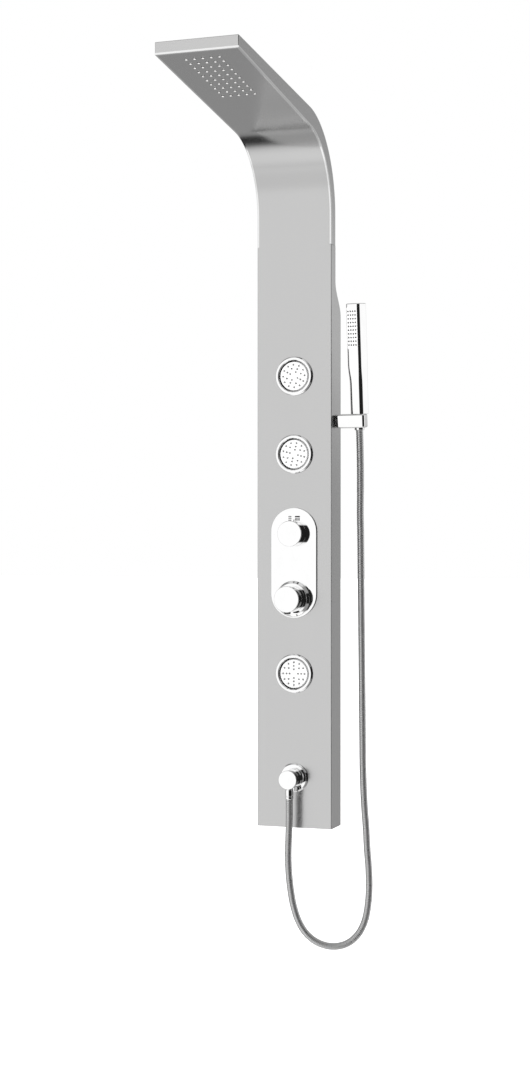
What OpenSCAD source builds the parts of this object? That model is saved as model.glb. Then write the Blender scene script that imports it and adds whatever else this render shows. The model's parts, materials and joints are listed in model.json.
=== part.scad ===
// Wall-mounted rainfall shower column, in millimetres.
// A folded steel panel curves forward into a rain head. It carries three swivelling body jets,
// two controls on a polished plate, an elbow outlet, and a hand shower in a tilting side holder.
// Frame: +Z up, +X to the right as seen from the room, wall plane at Y = 0, room towards -Y.
// The origin is midway between the two screw holes of the upper wall bracket, on the wall.
// A name ending in _h is a height above the panel's bottom edge.

/* [Panel] */
// Width of the panel and the rain head
panel_w = 150; // [146:1:160]
// Depth of the lower housing, from the wall to its front face
housing_depth = 60; // [60:1:70]
// Thickness of the panel's narrow neck, front to back
neck_depth = 26; // [24:1:30]
// Thickness of the front sheet and its folded sides
sheet_t = 1.5; // [1.2:0.1:2]
// Height at which the deep housing starts to thin
housing_top_h = 985; // [980:5:1000]
// Height at which the neck reaches its own thickness
neck_start_h = 1050; // [1040:5:1060]
// Height of the side seam, where the head casing starts
seam_h = 1118; // [1100:1:1130]
// Height of the upper bracket's screw holes, which is the origin
bracket_h = 930; // [930]
// Height of the lower bracket's screw holes
lower_bracket_h = 160; // [150:5:180]
// Distance between the two screw holes of a bracket
bracket_pitch = 80; // [70:5:90]

/* [Rain head] */
// Height at which the front face starts to curve forward
bend_h = 1174; // [1170:1:1180]
// Radius of the front face in the curve
bend_r = 143; // [140:1:146]
// Angle that the front face turns through
bend_angle = 82.75; // [82.5:0.25:83.5]
// Radius of the back face in the curve
back_bend_r = 175; // [172:1:178]
// Angle that the back face turns through
back_angle = 84.75; // [84.5:0.25:85]
// Distance that the head reaches in front of the panel's face
head_reach = 512; // [500:1:520]
// Height of the head's flat front end
head_end_t = 22; // [21:1:25]
// Width of the polished strip round the head's lower edge
trim_w = 3.5; // [3:0.5:4]
// Spacing of the rain nozzles across the head
nozzle_pitch_x = 15; // [14:1:16]
// Spacing of the rain nozzles along the head
nozzle_pitch_y = 19.5; // [18:0.5:20]
// Distance from the head's front edge to its first row of nozzles
nozzle_edge = 30; // [28:1:34]

/* [Body jets] */
// Height of the upper body jet
upper_jet_h = 868; // [860:1:870]
// Height of the middle body jet
middle_jet_h = 718; // [710:1:725]
// Height of the lower body jet
lower_jet_h = 296; // [290:1:310]
// Outer radius of a jet's chrome bezel
jet_bezel_r = 37.5; // [37:0.5:39]

/* [Controls] */
// Height of the diverter knob
diverter_h = 565; // [563:1:570]
// Height of the temperature knob
temperature_h = 440; // [438:1:446]
// Height of the middle of the polished control plate
control_plate_h = 509; // [507:1:511]
// Width of the control plate
control_plate_w = 92; // [90:1:96]
// Length of the control plate
control_plate_l = 212; // [210:1:216]
// Radius of the diverter knob
diverter_knob_r = 24.5; // [24:0.5:26]
// Distance from the panel's face to the front of the diverter knob
diverter_knob_out = 30; // [28:1:34]
// Radius of the temperature knob
temperature_knob_r = 25; // [24:0.5:26]
// Distance from the panel's face to the front of the temperature knob
temperature_knob_out = 48; // [46:1:52]

/* [Elbow outlet] */
// Height of the elbow outlet
elbow_h = 96; // [94:1:100]
// Radius of the elbow's wall flange
elbow_flange_r = 28; // [26:1:30]
// Radius of the elbow's body
elbow_r = 18; // [17:0.5:19]
// Distance from the panel's face to the front of the elbow
elbow_out = 41; // [40:1:44]

/* [Hand shower] */
// Angle that the hand shower leans forward
lean = 6; // [4:1:8]
// Angle that the spray face is turned towards the panel
spray_turn = 18; // [10:1:25]
// Length of the hand shower above its holder
handset_l = 211; // [200:1:220]
// Width of the hand shower's spray head
handset_w = 31; // [30:1:33]
// Depth of the hand shower's spray head
handset_d = 28; // [28:1:30]
// Diameter of the shower hose
hose_d = 14; // [12:1:14]

/* [Hidden] */
$fn = 64;
eps = 0.01;
cut = 1;              // how far a cutting shape runs past a face
running = 0.05;       // radial clearance of a turning fit
loose = 0.1;          // radial clearance of a screwed or slipped joint

// Heights in the frame, and the main faces
function up(h) = h - bracket_h;
bottom_z = up(0);
seam_z = up(seam_h);
face_y = -housing_depth;
neck_back_y = face_y + neck_depth;
head_end_y = face_y - head_reach;
casing_t = 1.2;
seam_gap = 0.5;
bend_steps = 28;
taper_steps = 12;

// Side view of the front and back faces, as [y, z] points, each moved into the metal by inset
bend_c = [face_y - bend_r, up(bend_h)];
function turn(a) = [cos(a), sin(a)];
function head_point(inset, y) = let(p = bend_c + (bend_r + inset) * turn(bend_angle))
    [y, p[1] + (p[0] - y) / tan(bend_angle)];
back_c_y = neck_back_y - back_bend_r;
head_top_z = head_point(0, head_end_y)[1] + head_end_t;
back_c_z = head_top_z - back_bend_r * sin(back_angle)
    - (back_c_y + back_bend_r * cos(back_angle) - head_end_y) / tan(back_angle);
back_c = [back_c_y, back_c_z];
function top_point(inset, y) = let(p = back_c + (back_bend_r - inset) * turn(back_angle))
    [y, p[1] + (p[0] - y) / tan(back_angle)];
function front_line(inset, from_z, end_y) = concat(
    [[face_y + inset, from_z]],
    [for (i = [0 : bend_steps]) bend_c + (bend_r + inset) * turn(i * bend_angle / bend_steps)],
    [head_point(inset, end_y)]);
function back_line(inset, from_z, end_y) = concat(
    [[neck_back_y - inset, from_z]],
    [for (i = [0 : bend_steps]) back_c + (back_bend_r - inset) * turn(i * back_angle / bend_steps)],
    [top_point(inset, end_y)]);
function reverse(list) = [for (i = [len(list) - 1 : -1 : 0]) list[i]];

// Back edge of the sides, from the wall up to the neck, moved towards the room by inset
function back_edge(inset, from_z) = concat(
    [[-inset, from_z]],
    [for (i = [0 : taper_steps])
        [-inset + neck_back_y * (1 - cos(180 * i / taper_steps)) / 2,
         up(housing_top_h + (neck_start_h - housing_top_h) * i / taper_steps)]],
    [[neck_back_y - inset, seam_z]]);

// Rain head
head_start = bend_c + bend_r * turn(bend_angle);
head_l = (head_start[0] - head_end_y) / sin(bend_angle);
nozzle_cols = 5;
nozzle_rows = 10;
first_row = head_l - nozzle_edge;
last_row = first_row - (nozzle_rows - 1) * nozzle_pitch_y;
nozzle_hole_r = 3;
nozzle_r = 2.6;
nozzle_flange_r = 3.6;
nozzle_bore_r = 0.6;
nozzle_tip = 1.4;
chamber_margin = 14;
chamber_w = (nozzle_cols - 1) * nozzle_pitch_x + 2 * chamber_margin;
chamber_l = first_row - last_row + 2 * chamber_margin;
chamber_start = last_row - chamber_margin;
chamber_deep = 12;
chamber_wall = 2;
feed_r = 6;
spigot_l = 12;
chamber_mid = sheet_t + chamber_deep / 2 + 1;

// Body jets, measured forward from the panel's face
jets = [upper_jet_h, middle_jet_h, lower_jet_h];
jet_gasket_t = 0.8;
jet_front = 4.6;
jet_opening_r = 30.2;
jet_tail_r = 34.2;
jet_bore_r = 31.5;
jet_tail_back = -20;
jet_lip_back = -5.7;
ball_r = 29.7;
ball_mid = -10;
ball_front = 2.8;
ball_back = -25;
ball_cavity_r = 23;
ball_skin = 4;
trunnion_r = 1.5;
seat_gap = 0.3;
tee_mid = -41;
tee_half = 22;
tee_r = 6;
jet_rings = [[8.4, 4], [14.8, 8], [21.7, 12]];
jet_nozzle_r = 0.9;

// Controls, measured forward from the panel's face
plate_gasket_t = 0.8;
plate_t = 2.5;
plate_front = plate_gasket_t + plate_t;
diverter_neck_r = 17.5;
temperature_neck_r = 21.5;
neck_front = 2;
knob_gap = 0.7;
knob_wall = 4;
collar_r = 34.5;
collar_front = 14;
collar_bevel = 4.5;
collar_bore_r = 20.4;
inlet_x = 54;
inlet_mid = -33;
thread_r = 10.48;       // outside of a half-inch pipe thread
thread_end = 44;
inlet_arm_r = 9;
inlet_socket_r = 12;
inlet_socket_l = 20;
inlet_bore_r = 8;
inlet_hex_r = 13.5;
inlet_hex_l = 8;
inlet_water_r = 5.5;
supply_hole_r = 17;     // in the bottom cover, below each inlet
valve_back = -50;
valve_front = -8;
diverter_chamber_r = 23;
diverter_bore_r = 14;
diverter_bore_back = -44;
diverter_spindle_r = 4;
temperature_chamber_r = 26;
temperature_bore_r = 17;
temperature_bore_back = -46;
temperature_spindle_r = 5;
spindle_depth = 19;
bridge_w = 28;
bridge_d = 30;
bridge_front = 16;
outlet_arm_r = 7;
knuckle_r = 9;
side_spigot_l = 24;
upper_feed_l = 34;
lower_feed_l = 36;
side_outlet_x = 62;
rain_outlet_x = 55;
outlet_mid = -20;
button_w = 11;

// Elbow outlet, measured forward from the panel's face
elbow_tail_r = 10.4;
elbow_tail_back = -24;
elbow_flange_t = 5;
port_out = 30;
port_r = 7;
ferrule_r = 7.75;

// Route of the shower hose, from the nut under the hand shower to the elbow's fitting
route = [
    [119, -20, -166], [119, -16, -205], [119, -14, -245], [119, -14, -285], [119, -15, -325],
    [120, -16, -365], [121, -18, -405], [122, -20, -445], [123, -22, -485], [124, -24, -525],
    [125, -26, -565], [126, -28, -605], [127, -30, -645], [128, -32, -685], [129, -34, -725],
    [130, -36, -765], [131, -38, -805], [133, -41, -845], [136, -44, -885], [140, -47, -925],
    [143, -50, -963], [147, -53, -1002], [149, -57, -1040], [147, -61, -1075], [141, -64, -1103],
    [128, -67, -1127], [107, -70, -1144], [80, -73, -1150], [53, -76, -1144], [31, -79, -1128],
    [16, -82, -1104], [7, -85, -1075], [2, -87, -1045], [-1, -89, -1012], [-2, -90, -978],
    [-1, -90, -943], [0, -90, -908], [0, -90, -872]];
hose_r = hose_d / 2;

// Hand shower and holder, along the hand shower's own axis from the middle of the holder
nut_drop = 18;
bar_half = 13;
bar_deep = 34;
bar_end_r = 8;
bar_wall_x = 76;
bar_end_x = 134;
axis_x = route[0][0];
pin_r = 5;
pin_start_x = 65;
pin_end_x = 90;
pin_hole_r = 5.2;
nut_top_r = 12.2;
nut_low_r = 9.5;
socket_gap = 0.4;
rest_gap = 0.2;
handle_w = 29;
handle_d = 26;
step_low = 70;
step_high = 108;
handset_wall = 2.5;
grip_start = bar_half + rest_gap;
handset_top = bar_half + handset_l;
spray_rows = 10;
spray_cols = 4;
spray_pitch_z = 7.1;
spray_pitch_x = 5.4;
spray_top = handset_top - 15;
spray_plate_w = 23;
spray_plate_t = 1.5;
spray_margin = 8;
head_front = -(handset_d - handle_d / 2);

// Helpers

// A side-view shape, drawn as [y, z], made w wide and centred on the panel
module across(w) translate([-w / 2, 0, 0]) rotate([90, 0, 90]) linear_extrude(w) children();

// Puts a shape whose +z points out of the panel's face at height h and sideways place x
module at_face(h, x = 0) translate([x, face_y, up(h)]) rotate([90, 0, 0]) children();

// Puts a shape on the head's underside: +y runs forward along it from the curve, +z points down out of it
module on_head() translate([0, head_start[0], head_start[1]]) rotate([90 + bend_angle, 0, 0]) children();

// The hand shower's frame: +z up its axis, origin in the middle of the holder
module at_holder() translate(route[0]) rotate([lean, 0, 0]) translate([0, 0, nut_drop]) children();
module at_handset() at_holder() rotate([0, 0, -spray_turn]) children();

// A round wall between two radii and two places along z
module ring(inner, outer, low, high) translate([0, 0, low]) difference() {
    cylinder(r = outer, h = high - low);
    translate([0, 0, -cut]) cylinder(r = inner, h = high - low + 2 * cut);
}

module rod(r, low, high) translate([0, 0, low]) cylinder(r = r, h = high - low);

// A cylinder along x
module rod_x(r, low, high) rotate([0, 90, 0]) rod(r, low, high);

module rounded_rect(w, d, r) union() {
    square([w - 2 * r, d], center = true);
    square([w, d - 2 * r], center = true);
    for (x = [-1, 1], y = [-1, 1]) translate([x * (w / 2 - r), y * (d / 2 - r)]) circle(r);
}

module obround(w, l) union() {
    square([w, l - w], center = true);
    for (y = [-1, 1]) translate([0, y * (l - w) / 2]) circle(w / 2);
}

// A hexagonal nut, given the distance across its flats
module hex_nut(flats, bore_r, low, high) translate([0, 0, low]) difference() {
    cylinder(r = flats / sqrt(3), h = high - low, $fn = 6);
    translate([0, 0, -cut]) cylinder(r = bore_r, h = high - low + 2 * cut);
}

// A tube swept along points; ref is a direction that the points never run along
function unit(v) = v / norm(v);
function heading(p, i) = unit(p[min(i + 1, len(p) - 1)] - p[max(i - 1, 0)]);
function rim(c, t, ref, r, n) = let(u = unit(cross(t, ref)), v = cross(t, u))
    [for (k = [0 : n - 1]) c + r * (cos(360 * k / n) * u + sin(360 * k / n) * v)];
module tube(points, r, ref, sides = 10, first = undef, last = undef) {
    m = len(points);
    dirs = [for (i = [0 : m - 1])
        i == 0 && first != undef ? first : i == m - 1 && last != undef ? last : heading(points, i)];
    rims = [for (i = [0 : m - 1]) each rim(points[i], dirs[i], ref, r, sides)];
    walls = [for (i = [0 : m - 2], k = [0 : sides - 1])
        let(a = i * sides + k, b = i * sides + (k + 1) % sides) [a, b, b + sides, a + sides]];
    ends = [[for (k = [sides - 1 : -1 : 0]) k], [for (k = [0 : sides - 1]) (m - 1) * sides + k]];
    polyhedron(points = rims, faces = concat(walls, ends), convexity = 6);
}

// Panel

module side_wall(x) translate([x, 0, 0]) rotate([90, 0, 90]) linear_extrude(sheet_t)
    polygon(concat([[face_y, bottom_z]], back_edge(0, bottom_z), [[face_y, seam_z]]));

module nozzle_grid() for (i = [0 : nozzle_cols - 1], j = [0 : nozzle_rows - 1])
    translate([(i - (nozzle_cols - 1) / 2) * nozzle_pitch_x, last_row + j * nozzle_pitch_y, 0]) children();

module front_panel() color("silver") difference() {
    union() {
        across(panel_w - 2 * trim_w) polygon(concat(
            front_line(0, seam_z - cut, head_end_y + trim_w),
            reverse(front_line(sheet_t, seam_z - cut, head_end_y + trim_w))));
        translate([-panel_w / 2, face_y, bottom_z]) cube([panel_w, sheet_t, seam_z - bottom_z]);
        side_wall(-panel_w / 2);
        side_wall(panel_w / 2 - sheet_t);
    }
    on_head() nozzle_grid() rod(nozzle_hole_r, -sheet_t - cut, cut);
    for (h = jets) at_face(h) rod(jet_tail_r + 0.3, -sheet_t - cut, cut);
    at_face(diverter_h) rod(diverter_neck_r + 0.5, -sheet_t - cut, cut);
    at_face(temperature_h) rod(temperature_neck_r + 0.5, -sheet_t - cut, cut);
    at_face(elbow_h) rod(elbow_tail_r + 0.4, -sheet_t - cut, cut);
    at_holder() rod_x(pin_hole_r, panel_w / 2 - sheet_t - cut - axis_x, panel_w / 2 + cut - axis_x);
}

module edge_trim() color("gainsboro") difference() {
    across(panel_w) polygon(concat(
        front_line(0, seam_z + seam_gap, head_end_y),
        reverse(front_line(trim_w, seam_z + seam_gap, head_end_y))));
    across(panel_w - 2 * trim_w) polygon(concat(
        front_line(-cut, seam_z - cut, head_end_y + trim_w),
        reverse(front_line(trim_w + cut, seam_z - cut, head_end_y + trim_w))));
}

module head_casing() color("silver") difference() {
    across(panel_w) polygon(concat(
        front_line(trim_w, seam_z + seam_gap, head_end_y),
        reverse(back_line(0, seam_z + seam_gap, head_end_y))));
    across(panel_w - 2 * casing_t) polygon(concat(
        front_line(0, seam_z - cut, head_end_y + casing_t),
        reverse(back_line(casing_t, seam_z - cut, head_end_y + casing_t))));
}

module neck_back_plate() color("silver") across(panel_w - 2 * sheet_t)
    polygon(concat(back_edge(0, up(housing_top_h - 15)),
        reverse(back_edge(casing_t, up(housing_top_h - 15)))));

module bottom_cover() color("silver") difference() {
    translate([-panel_w / 2 + sheet_t, face_y + sheet_t, bottom_z])
        cube([panel_w - 2 * sheet_t, housing_depth - sheet_t - 2, sheet_t]);
    for (x = [-inlet_x, inlet_x]) translate([x, face_y - inlet_mid, bottom_z])
        rod(supply_hole_r, -cut, sheet_t + cut);
}

// Wall brackets with an upturned hook, and the hangers inside the panel that drop behind the hook

hook_low = 14;
hook_high = 30;
plate_half = 16;
hook_out = 9;
steel_t = 2;
screw_hole_r = 3.25;

module wall_bracket(h) difference() {
    translate([0, 0, up(h)]) union() {
        translate([-60, -steel_t, -plate_half]) cube([120, steel_t, 2 * plate_half]);
        translate([-60, -hook_out - steel_t, hook_low]) cube([120, hook_out + eps, steel_t]);
        translate([-60, -hook_out - steel_t, hook_low]) cube([120, steel_t, hook_high - hook_low]);
    }
    for (x = [-1, 1]) translate([x * bracket_pitch / 2, 0, up(h)]) rotate([90, 0, 0])
        rod(screw_hole_r, -cut, steel_t + cut);
}

module hanger(h) translate([0, 0, up(h)]) union() {
    inside = panel_w / 2 - sheet_t;
    translate([-inside, -8, hook_low + steel_t + 0.5]) cube([2 * inside, steel_t, 30]);
    for (x = [-inside, inside - steel_t])
        translate([x, -32, hook_low + steel_t + 0.5]) cube([steel_t, 26, 30]);
}

module upper_wall_bracket() color("darkgray") wall_bracket(bracket_h);
module lower_wall_bracket() color("darkgray") wall_bracket(lower_bracket_h);
module upper_hanger() color("lightgray") hanger(bracket_h);
module lower_hanger() color("lightgray") hanger(lower_bracket_h);

// Rain head

module rain_nozzles() color("dimgray") on_head() nozzle_grid() rotate_extrude() polygon([
    [nozzle_bore_r, -sheet_t - chamber_wall - 1], [nozzle_flange_r, -sheet_t - chamber_wall - 1],
    [nozzle_flange_r, -sheet_t - chamber_wall], [nozzle_r, -sheet_t - chamber_wall],
    [nozzle_r, nozzle_tip - 1], [nozzle_r - 0.7, nozzle_tip], [nozzle_bore_r, nozzle_tip]]);

module rain_chamber_base() color("whitesmoke") on_head() difference() {
    union() {
        translate([-chamber_w / 2, chamber_start, -sheet_t - chamber_deep])
            cube([chamber_w, chamber_l, chamber_deep]);
        translate([0, chamber_start + eps, -chamber_mid]) rotate([90, 0, 0]) rod(feed_r - 1, 0, spigot_l);
    }
    translate([-chamber_w / 2 + chamber_wall, chamber_start + chamber_wall, -sheet_t - chamber_deep - cut])
        cube([chamber_w - 2 * chamber_wall, chamber_l - 2 * chamber_wall,
            chamber_deep - chamber_wall + cut]);
    nozzle_grid() rod(nozzle_r + loose, -sheet_t - chamber_wall - cut, cut);
    translate([0, chamber_start + chamber_wall + cut, -chamber_mid]) rotate([90, 0, 0])
        rod(3, 0, spigot_l + 10);
}

module rain_chamber_lid() color("whitesmoke") on_head()
    translate([-chamber_w / 2, chamber_start, -sheet_t - chamber_deep - chamber_wall])
        cube([chamber_w, chamber_l, chamber_wall]);

rain_start_h = diverter_h + 28;
rain_side = [
    [rain_outlet_x, -40, up(rain_start_h)], [rain_outlet_x, -41, up(640)], [rain_outlet_x, -45, up(700)],
    [rain_outlet_x, -46, up(780)], [rain_outlet_x, -46, up(860)], [rain_outlet_x, -46, up(930)],
    [50, -46, up(970)], [38, -46, up(1005)], [22, -46, up(1040)], [9, -46, up(1075)],
    [2, -46, up(1110)], [0, -46, up(1145)]];
rain_inset = 14;
rain_bend = [for (i = [0 : 14])
    let(p = bend_c + (bend_r + rain_inset) * turn(i * bend_angle / 14)) [0, p[0], p[1]]];
function rain_head_point(along, inset) =
    let(p = head_start + inset * turn(bend_angle) + along * [-sin(bend_angle), cos(bend_angle)])
    [0, p[0], p[1]];
rain_end = chamber_start - spigot_l;
rain_head = [
    rain_head_point(40, 13), rain_head_point(80, 11), rain_head_point(120, 9.5),
    rain_head_point(rain_end - 15, chamber_mid), rain_head_point(rain_end, chamber_mid)];

module rain_supply_hose() color("gray")
    tube(concat(rain_side, rain_bend, rain_head), feed_r, [1, 0.2, 0], sides = 8, first = [0, 0, 1],
        last = [0, -sin(bend_angle), cos(bend_angle)]);

// Body jets

module jet_bezel(h) color("gainsboro") at_face(h) rotate_extrude() polygon([
    [jet_opening_r, jet_lip_back], [jet_opening_r, jet_front - 1.4], [jet_opening_r + 1.2, jet_front],
    [jet_bezel_r - 2, jet_front], [jet_bezel_r, jet_front - 2], [jet_bezel_r, jet_gasket_t],
    [jet_tail_r, jet_gasket_t], [jet_tail_r, jet_tail_back], [jet_bore_r, jet_tail_back],
    [jet_bore_r, jet_lip_back]]);

module jet_housing(h) color("whitesmoke") at_face(h) difference() {
    union() {
        rod(jet_tail_r, -35, jet_tail_back);
        rod(9, tee_mid, -35 + eps);
        translate([0, 0, tee_mid]) rotate([90, 0, 0]) rod(tee_r, -tee_half, tee_half);
    }
    rod(jet_bore_r - 0.5, -32, jet_tail_back + cut);
    rod(3.5, tee_mid, -31);
    translate([0, 0, tee_mid]) rotate([90, 0, 0]) rod(3.5, -tee_half - cut, tee_half + cut);
}

module jet_seat_ring(h) color("dimgray") at_face(h) union() {
    ring(ball_r + seat_gap, jet_bore_r - running, jet_tail_back, jet_lip_back - 0.3);
    for (x = [-1, 1]) translate([x * (ball_r - 0.5), 0, ball_mid])
        rod_x(trunnion_r, -1.5, 1.5);
}

module jet_face(h) color("lightgray") at_face(h) difference() {
    translate([0, 0, ball_mid]) sphere(r = ball_r);
    translate([-40, -40, ball_front]) cube([80, 80, 40]);
    translate([-40, -40, ball_back - 40]) cube([80, 80, 40]);
    rod(ball_cavity_r, ball_back - cut, ball_front - ball_skin);
    for (x = [-1, 1]) translate([x * ball_r, 0, ball_mid]) rod_x(trunnion_r + running, -3, 3);
    for (circle_of = jet_rings, i = [0 : circle_of[1] - 1])
        rotate([0, 0, 360 * i / circle_of[1]]) translate([circle_of[0], 0, 0])
            rod(jet_nozzle_r, ball_front - ball_skin - cut, ball_front + cut);
}

module upper_jet_bezel() jet_bezel(upper_jet_h);
module middle_jet_bezel() jet_bezel(middle_jet_h);
module lower_jet_bezel() jet_bezel(lower_jet_h);
module upper_jet_housing() jet_housing(upper_jet_h);
module middle_jet_housing() jet_housing(middle_jet_h);
module lower_jet_housing() jet_housing(lower_jet_h);
module upper_jet_seat_ring() jet_seat_ring(upper_jet_h);
module middle_jet_seat_ring() jet_seat_ring(middle_jet_h);
module lower_jet_seat_ring() jet_seat_ring(lower_jet_h);
module upper_jet_face() jet_face(upper_jet_h);
module middle_jet_face() jet_face(middle_jet_h);
module lower_jet_face() jet_face(lower_jet_h);

module jet_lock_nuts() color("darkgray") for (h = jets) at_face(h)
    hex_nut(78, jet_tail_r + loose, -sheet_t - 6, -sheet_t);

module jet_gaskets() color("black") for (h = jets) at_face(h)
    ring(jet_tail_r + 0.5, jet_bezel_r - 1, 0, jet_gasket_t);

// Straight hoses along the middle: from the valve to the lower and middle jets, and on to the upper jet
feed_spans = [
    [lower_jet_h + tee_half, temperature_h - lower_feed_l],
    [diverter_h + upper_feed_l, middle_jet_h - tee_half],
    [middle_jet_h + tee_half, upper_jet_h - tee_half]];
module jet_feed_hoses() color("gray") for (span = feed_spans)
    translate([0, face_y - tee_mid, 0]) rod(tee_r, up(span[0]), up(span[1]));

// Controls

module control_plate() color("white") difference() {
    at_face(control_plate_h) translate([0, 0, plate_gasket_t]) linear_extrude(plate_t)
        obround(control_plate_w, control_plate_l);
    at_face(diverter_h) rod(diverter_neck_r + 0.5, 0, plate_front + cut);
    at_face(temperature_h) rod(temperature_neck_r + 0.5, 0, plate_front + cut);
}

module control_plate_gasket() color("black") at_face(control_plate_h)
    linear_extrude(plate_gasket_t) difference() {
        obround(control_plate_w - 3, control_plate_l - 3);
        obround(control_plate_w - 13, control_plate_l - 13);
    }

module valve_chamber(h, r, neck_r) at_face(h) {
    rod(r, valve_back, valve_front);
    rod(neck_r, valve_front - cut, neck_front);
}

// Upright branch of the valve body, at x beside the middle and mid behind the panel's face
module branch(x, mid, h, r, low, high) translate([x, face_y - mid, up(h)]) rod(r, low, high);

module valve_body() color("goldenrod") difference() {
    union() {
        valve_chamber(diverter_h, diverter_chamber_r, diverter_neck_r);
        valve_chamber(temperature_h, temperature_chamber_r, temperature_neck_r);
        translate([-bridge_w / 2, face_y + bridge_front, up(temperature_h)])
            cube([bridge_w, bridge_d, diverter_h - temperature_h]);
        at_face(temperature_h) translate([0, 0, inlet_mid]) rod_x(inlet_arm_r, -inlet_x, inlet_x);
        for (x = [-inlet_x, inlet_x])
            branch(x, inlet_mid, temperature_h, inlet_socket_r, -inlet_socket_l, 10);
        at_face(diverter_h) translate([0, 0, outlet_mid])
            rod_x(outlet_arm_r, -side_outlet_x, rain_outlet_x);
        for (x = [-side_outlet_x, rain_outlet_x])
            branch(x, outlet_mid, diverter_h, knuckle_r, -knuckle_r, knuckle_r);
        branch(-side_outlet_x, outlet_mid, diverter_h, feed_r - 1, -side_spigot_l, 0);
        branch(rain_outlet_x, outlet_mid, diverter_h, feed_r, 0, rain_start_h - diverter_h);
        branch(0, tee_mid, diverter_h, tee_r, 10, upper_feed_l);
        branch(0, tee_mid, temperature_h, tee_r, -lower_feed_l, -10);
    }
    at_face(diverter_h) rod(diverter_bore_r, diverter_bore_back, neck_front + cut);
    at_face(temperature_h) rod(temperature_bore_r, temperature_bore_back, neck_front + cut);
    for (x = [-inlet_x, inlet_x])
        branch(x, inlet_mid, temperature_h, inlet_bore_r, -inlet_socket_l - cut, 0);
}

// Threaded inlet: upper end in the valve, hexagon, and a half-inch male thread for the supply hose
module inlet(x) translate([x, face_y - inlet_mid, up(temperature_h)]) difference() {
    union() {
        rod(inlet_bore_r - loose, -inlet_socket_l - cut, -10);
        translate([0, 0, -inlet_socket_l - inlet_hex_l])
            cylinder(r = inlet_hex_r, h = inlet_hex_l, $fn = 6);
        rod(thread_r, -thread_end, -inlet_socket_l - inlet_hex_l + 0.5);
    }
    rod(inlet_water_r, -thread_end - cut, -9);
}
module hot_inlet() color("goldenrod") inlet(-inlet_x);
module cold_inlet() color("goldenrod") inlet(inlet_x);

module diverter_cartridge() color("whitesmoke") at_face(diverter_h) difference() {
    union() {
        rod(diverter_bore_r - loose, diverter_bore_back, neck_front);
        rod(diverter_bore_r + 2, neck_front, plate_front - 0.3);
    }
    rod(diverter_spindle_r + running, -spindle_depth - cut, plate_front);
}

module thermostat_cartridge() color("whitesmoke") at_face(temperature_h) difference() {
    union() {
        rod(temperature_bore_r - loose, temperature_bore_back, neck_front);
        rod(temperature_bore_r + 3, neck_front, plate_front - 0.3);
    }
    rod(temperature_spindle_r + running, -spindle_depth - cut, plate_front);
}

module diverter_spindle() color("khaki") at_face(diverter_h)
    rod(diverter_spindle_r, -spindle_depth, diverter_knob_out - 6.5);
module temperature_spindle() color("khaki") at_face(temperature_h)
    rod(temperature_spindle_r, -spindle_depth, temperature_knob_out - 3.5);

// A hollow knob with a central boss; its grub screw is reached through a hole in the underside
module hollow_knob(r, low, high, front_t, boss_r, spindle_r, screw_at) difference() {
    union() {
        rotate_extrude() polygon([
            [0, high - front_t], [r - knob_wall, high - front_t], [r - knob_wall, low], [r, low],
            [r, high - 1.2], [r - 1.2, high], [0, high]]);
        rod(boss_r, low + 6, high - front_t + eps);
    }
    rod(spindle_r + 0.02, low, high - front_t);
    translate([0, 0, screw_at]) rotate([90, 0, 0]) rod(2.1, 0, r + cut);
}

module diverter_knob() color("gainsboro") at_face(diverter_h)
    hollow_knob(diverter_knob_r, plate_front + knob_gap, diverter_knob_out, 6, 8, 4, 15);
module diverter_set_screw() color("dimgray") at_face(diverter_h)
    translate([0, 0, 15]) rotate([90, 0, 0]) rod(2, 4.1, 8.2);

button_low = temperature_knob_out - 11;
button_deep = 8;
module temperature_knob() color("gainsboro") at_face(temperature_h) difference() {
    hollow_knob(temperature_knob_r, collar_front + knob_gap, temperature_knob_out, 2.5, 9, 5, 24);
    translate([-button_w / 2 - 0.2, -temperature_knob_r - cut, button_low - 0.2])
        cube([button_w + 0.4, knob_wall + 2 * cut, button_deep + 0.4]);
}
module temperature_set_screw() color("dimgray") at_face(temperature_h)
    translate([0, 0, 24]) rotate([90, 0, 0]) rod(2, 5.1, 9.2);

module temperature_collar() color("gainsboro") at_face(temperature_h) difference() {
    union() {
        rod(collar_r, plate_front, collar_front - collar_bevel);
        translate([0, 0, collar_front - collar_bevel])
            cylinder(r1 = collar_r, r2 = collar_r - collar_bevel, h = collar_bevel);
    }
    rod(collar_bore_r, plate_front - cut, collar_front + cut);
}

// The stop button slides up into the knob; a flange inside keeps it from falling out
button_out = 3;
flange_t = 1.2;
flange_y = -temperature_knob_r + knob_wall + 1.4;
module safety_button() color("dimgray") at_face(temperature_h) union() {
    translate([-button_w / 2, -temperature_knob_r - button_out, button_low])
        cube([button_w, flange_y + temperature_knob_r + button_out + eps, button_deep]);
    translate([-button_w / 2 - 1, flange_y, button_low - 1])
        cube([button_w + 2, flange_t, button_deep + 1]);
}

spring_r = 2.2;
spring_wire_r = 0.35;
spring_low = -flange_y - flange_t - 0.5;
spring_high = 9.6;
spring_coils = 6;
module button_spring() color("silver") at_face(temperature_h)
    translate([0, 0, button_low + button_deep / 2 - 0.5]) rotate([90, 0, 0])
        for (i = [0 : spring_coils - 1])
            translate([0, 0, spring_high + (spring_low - spring_high) * i / (spring_coils - 1)])
                rotate_extrude() translate([spring_r, 0]) circle(spring_wire_r);

// Elbow outlet

module elbow_flange() color("gainsboro") at_face(elbow_h) rotate_extrude() polygon([
    [elbow_tail_r + loose, 0], [elbow_flange_r, 0], [elbow_flange_r, 2.5],
    [elbow_flange_r - 2.5, elbow_flange_t],
    [elbow_tail_r + loose, elbow_flange_t]]);

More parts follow.
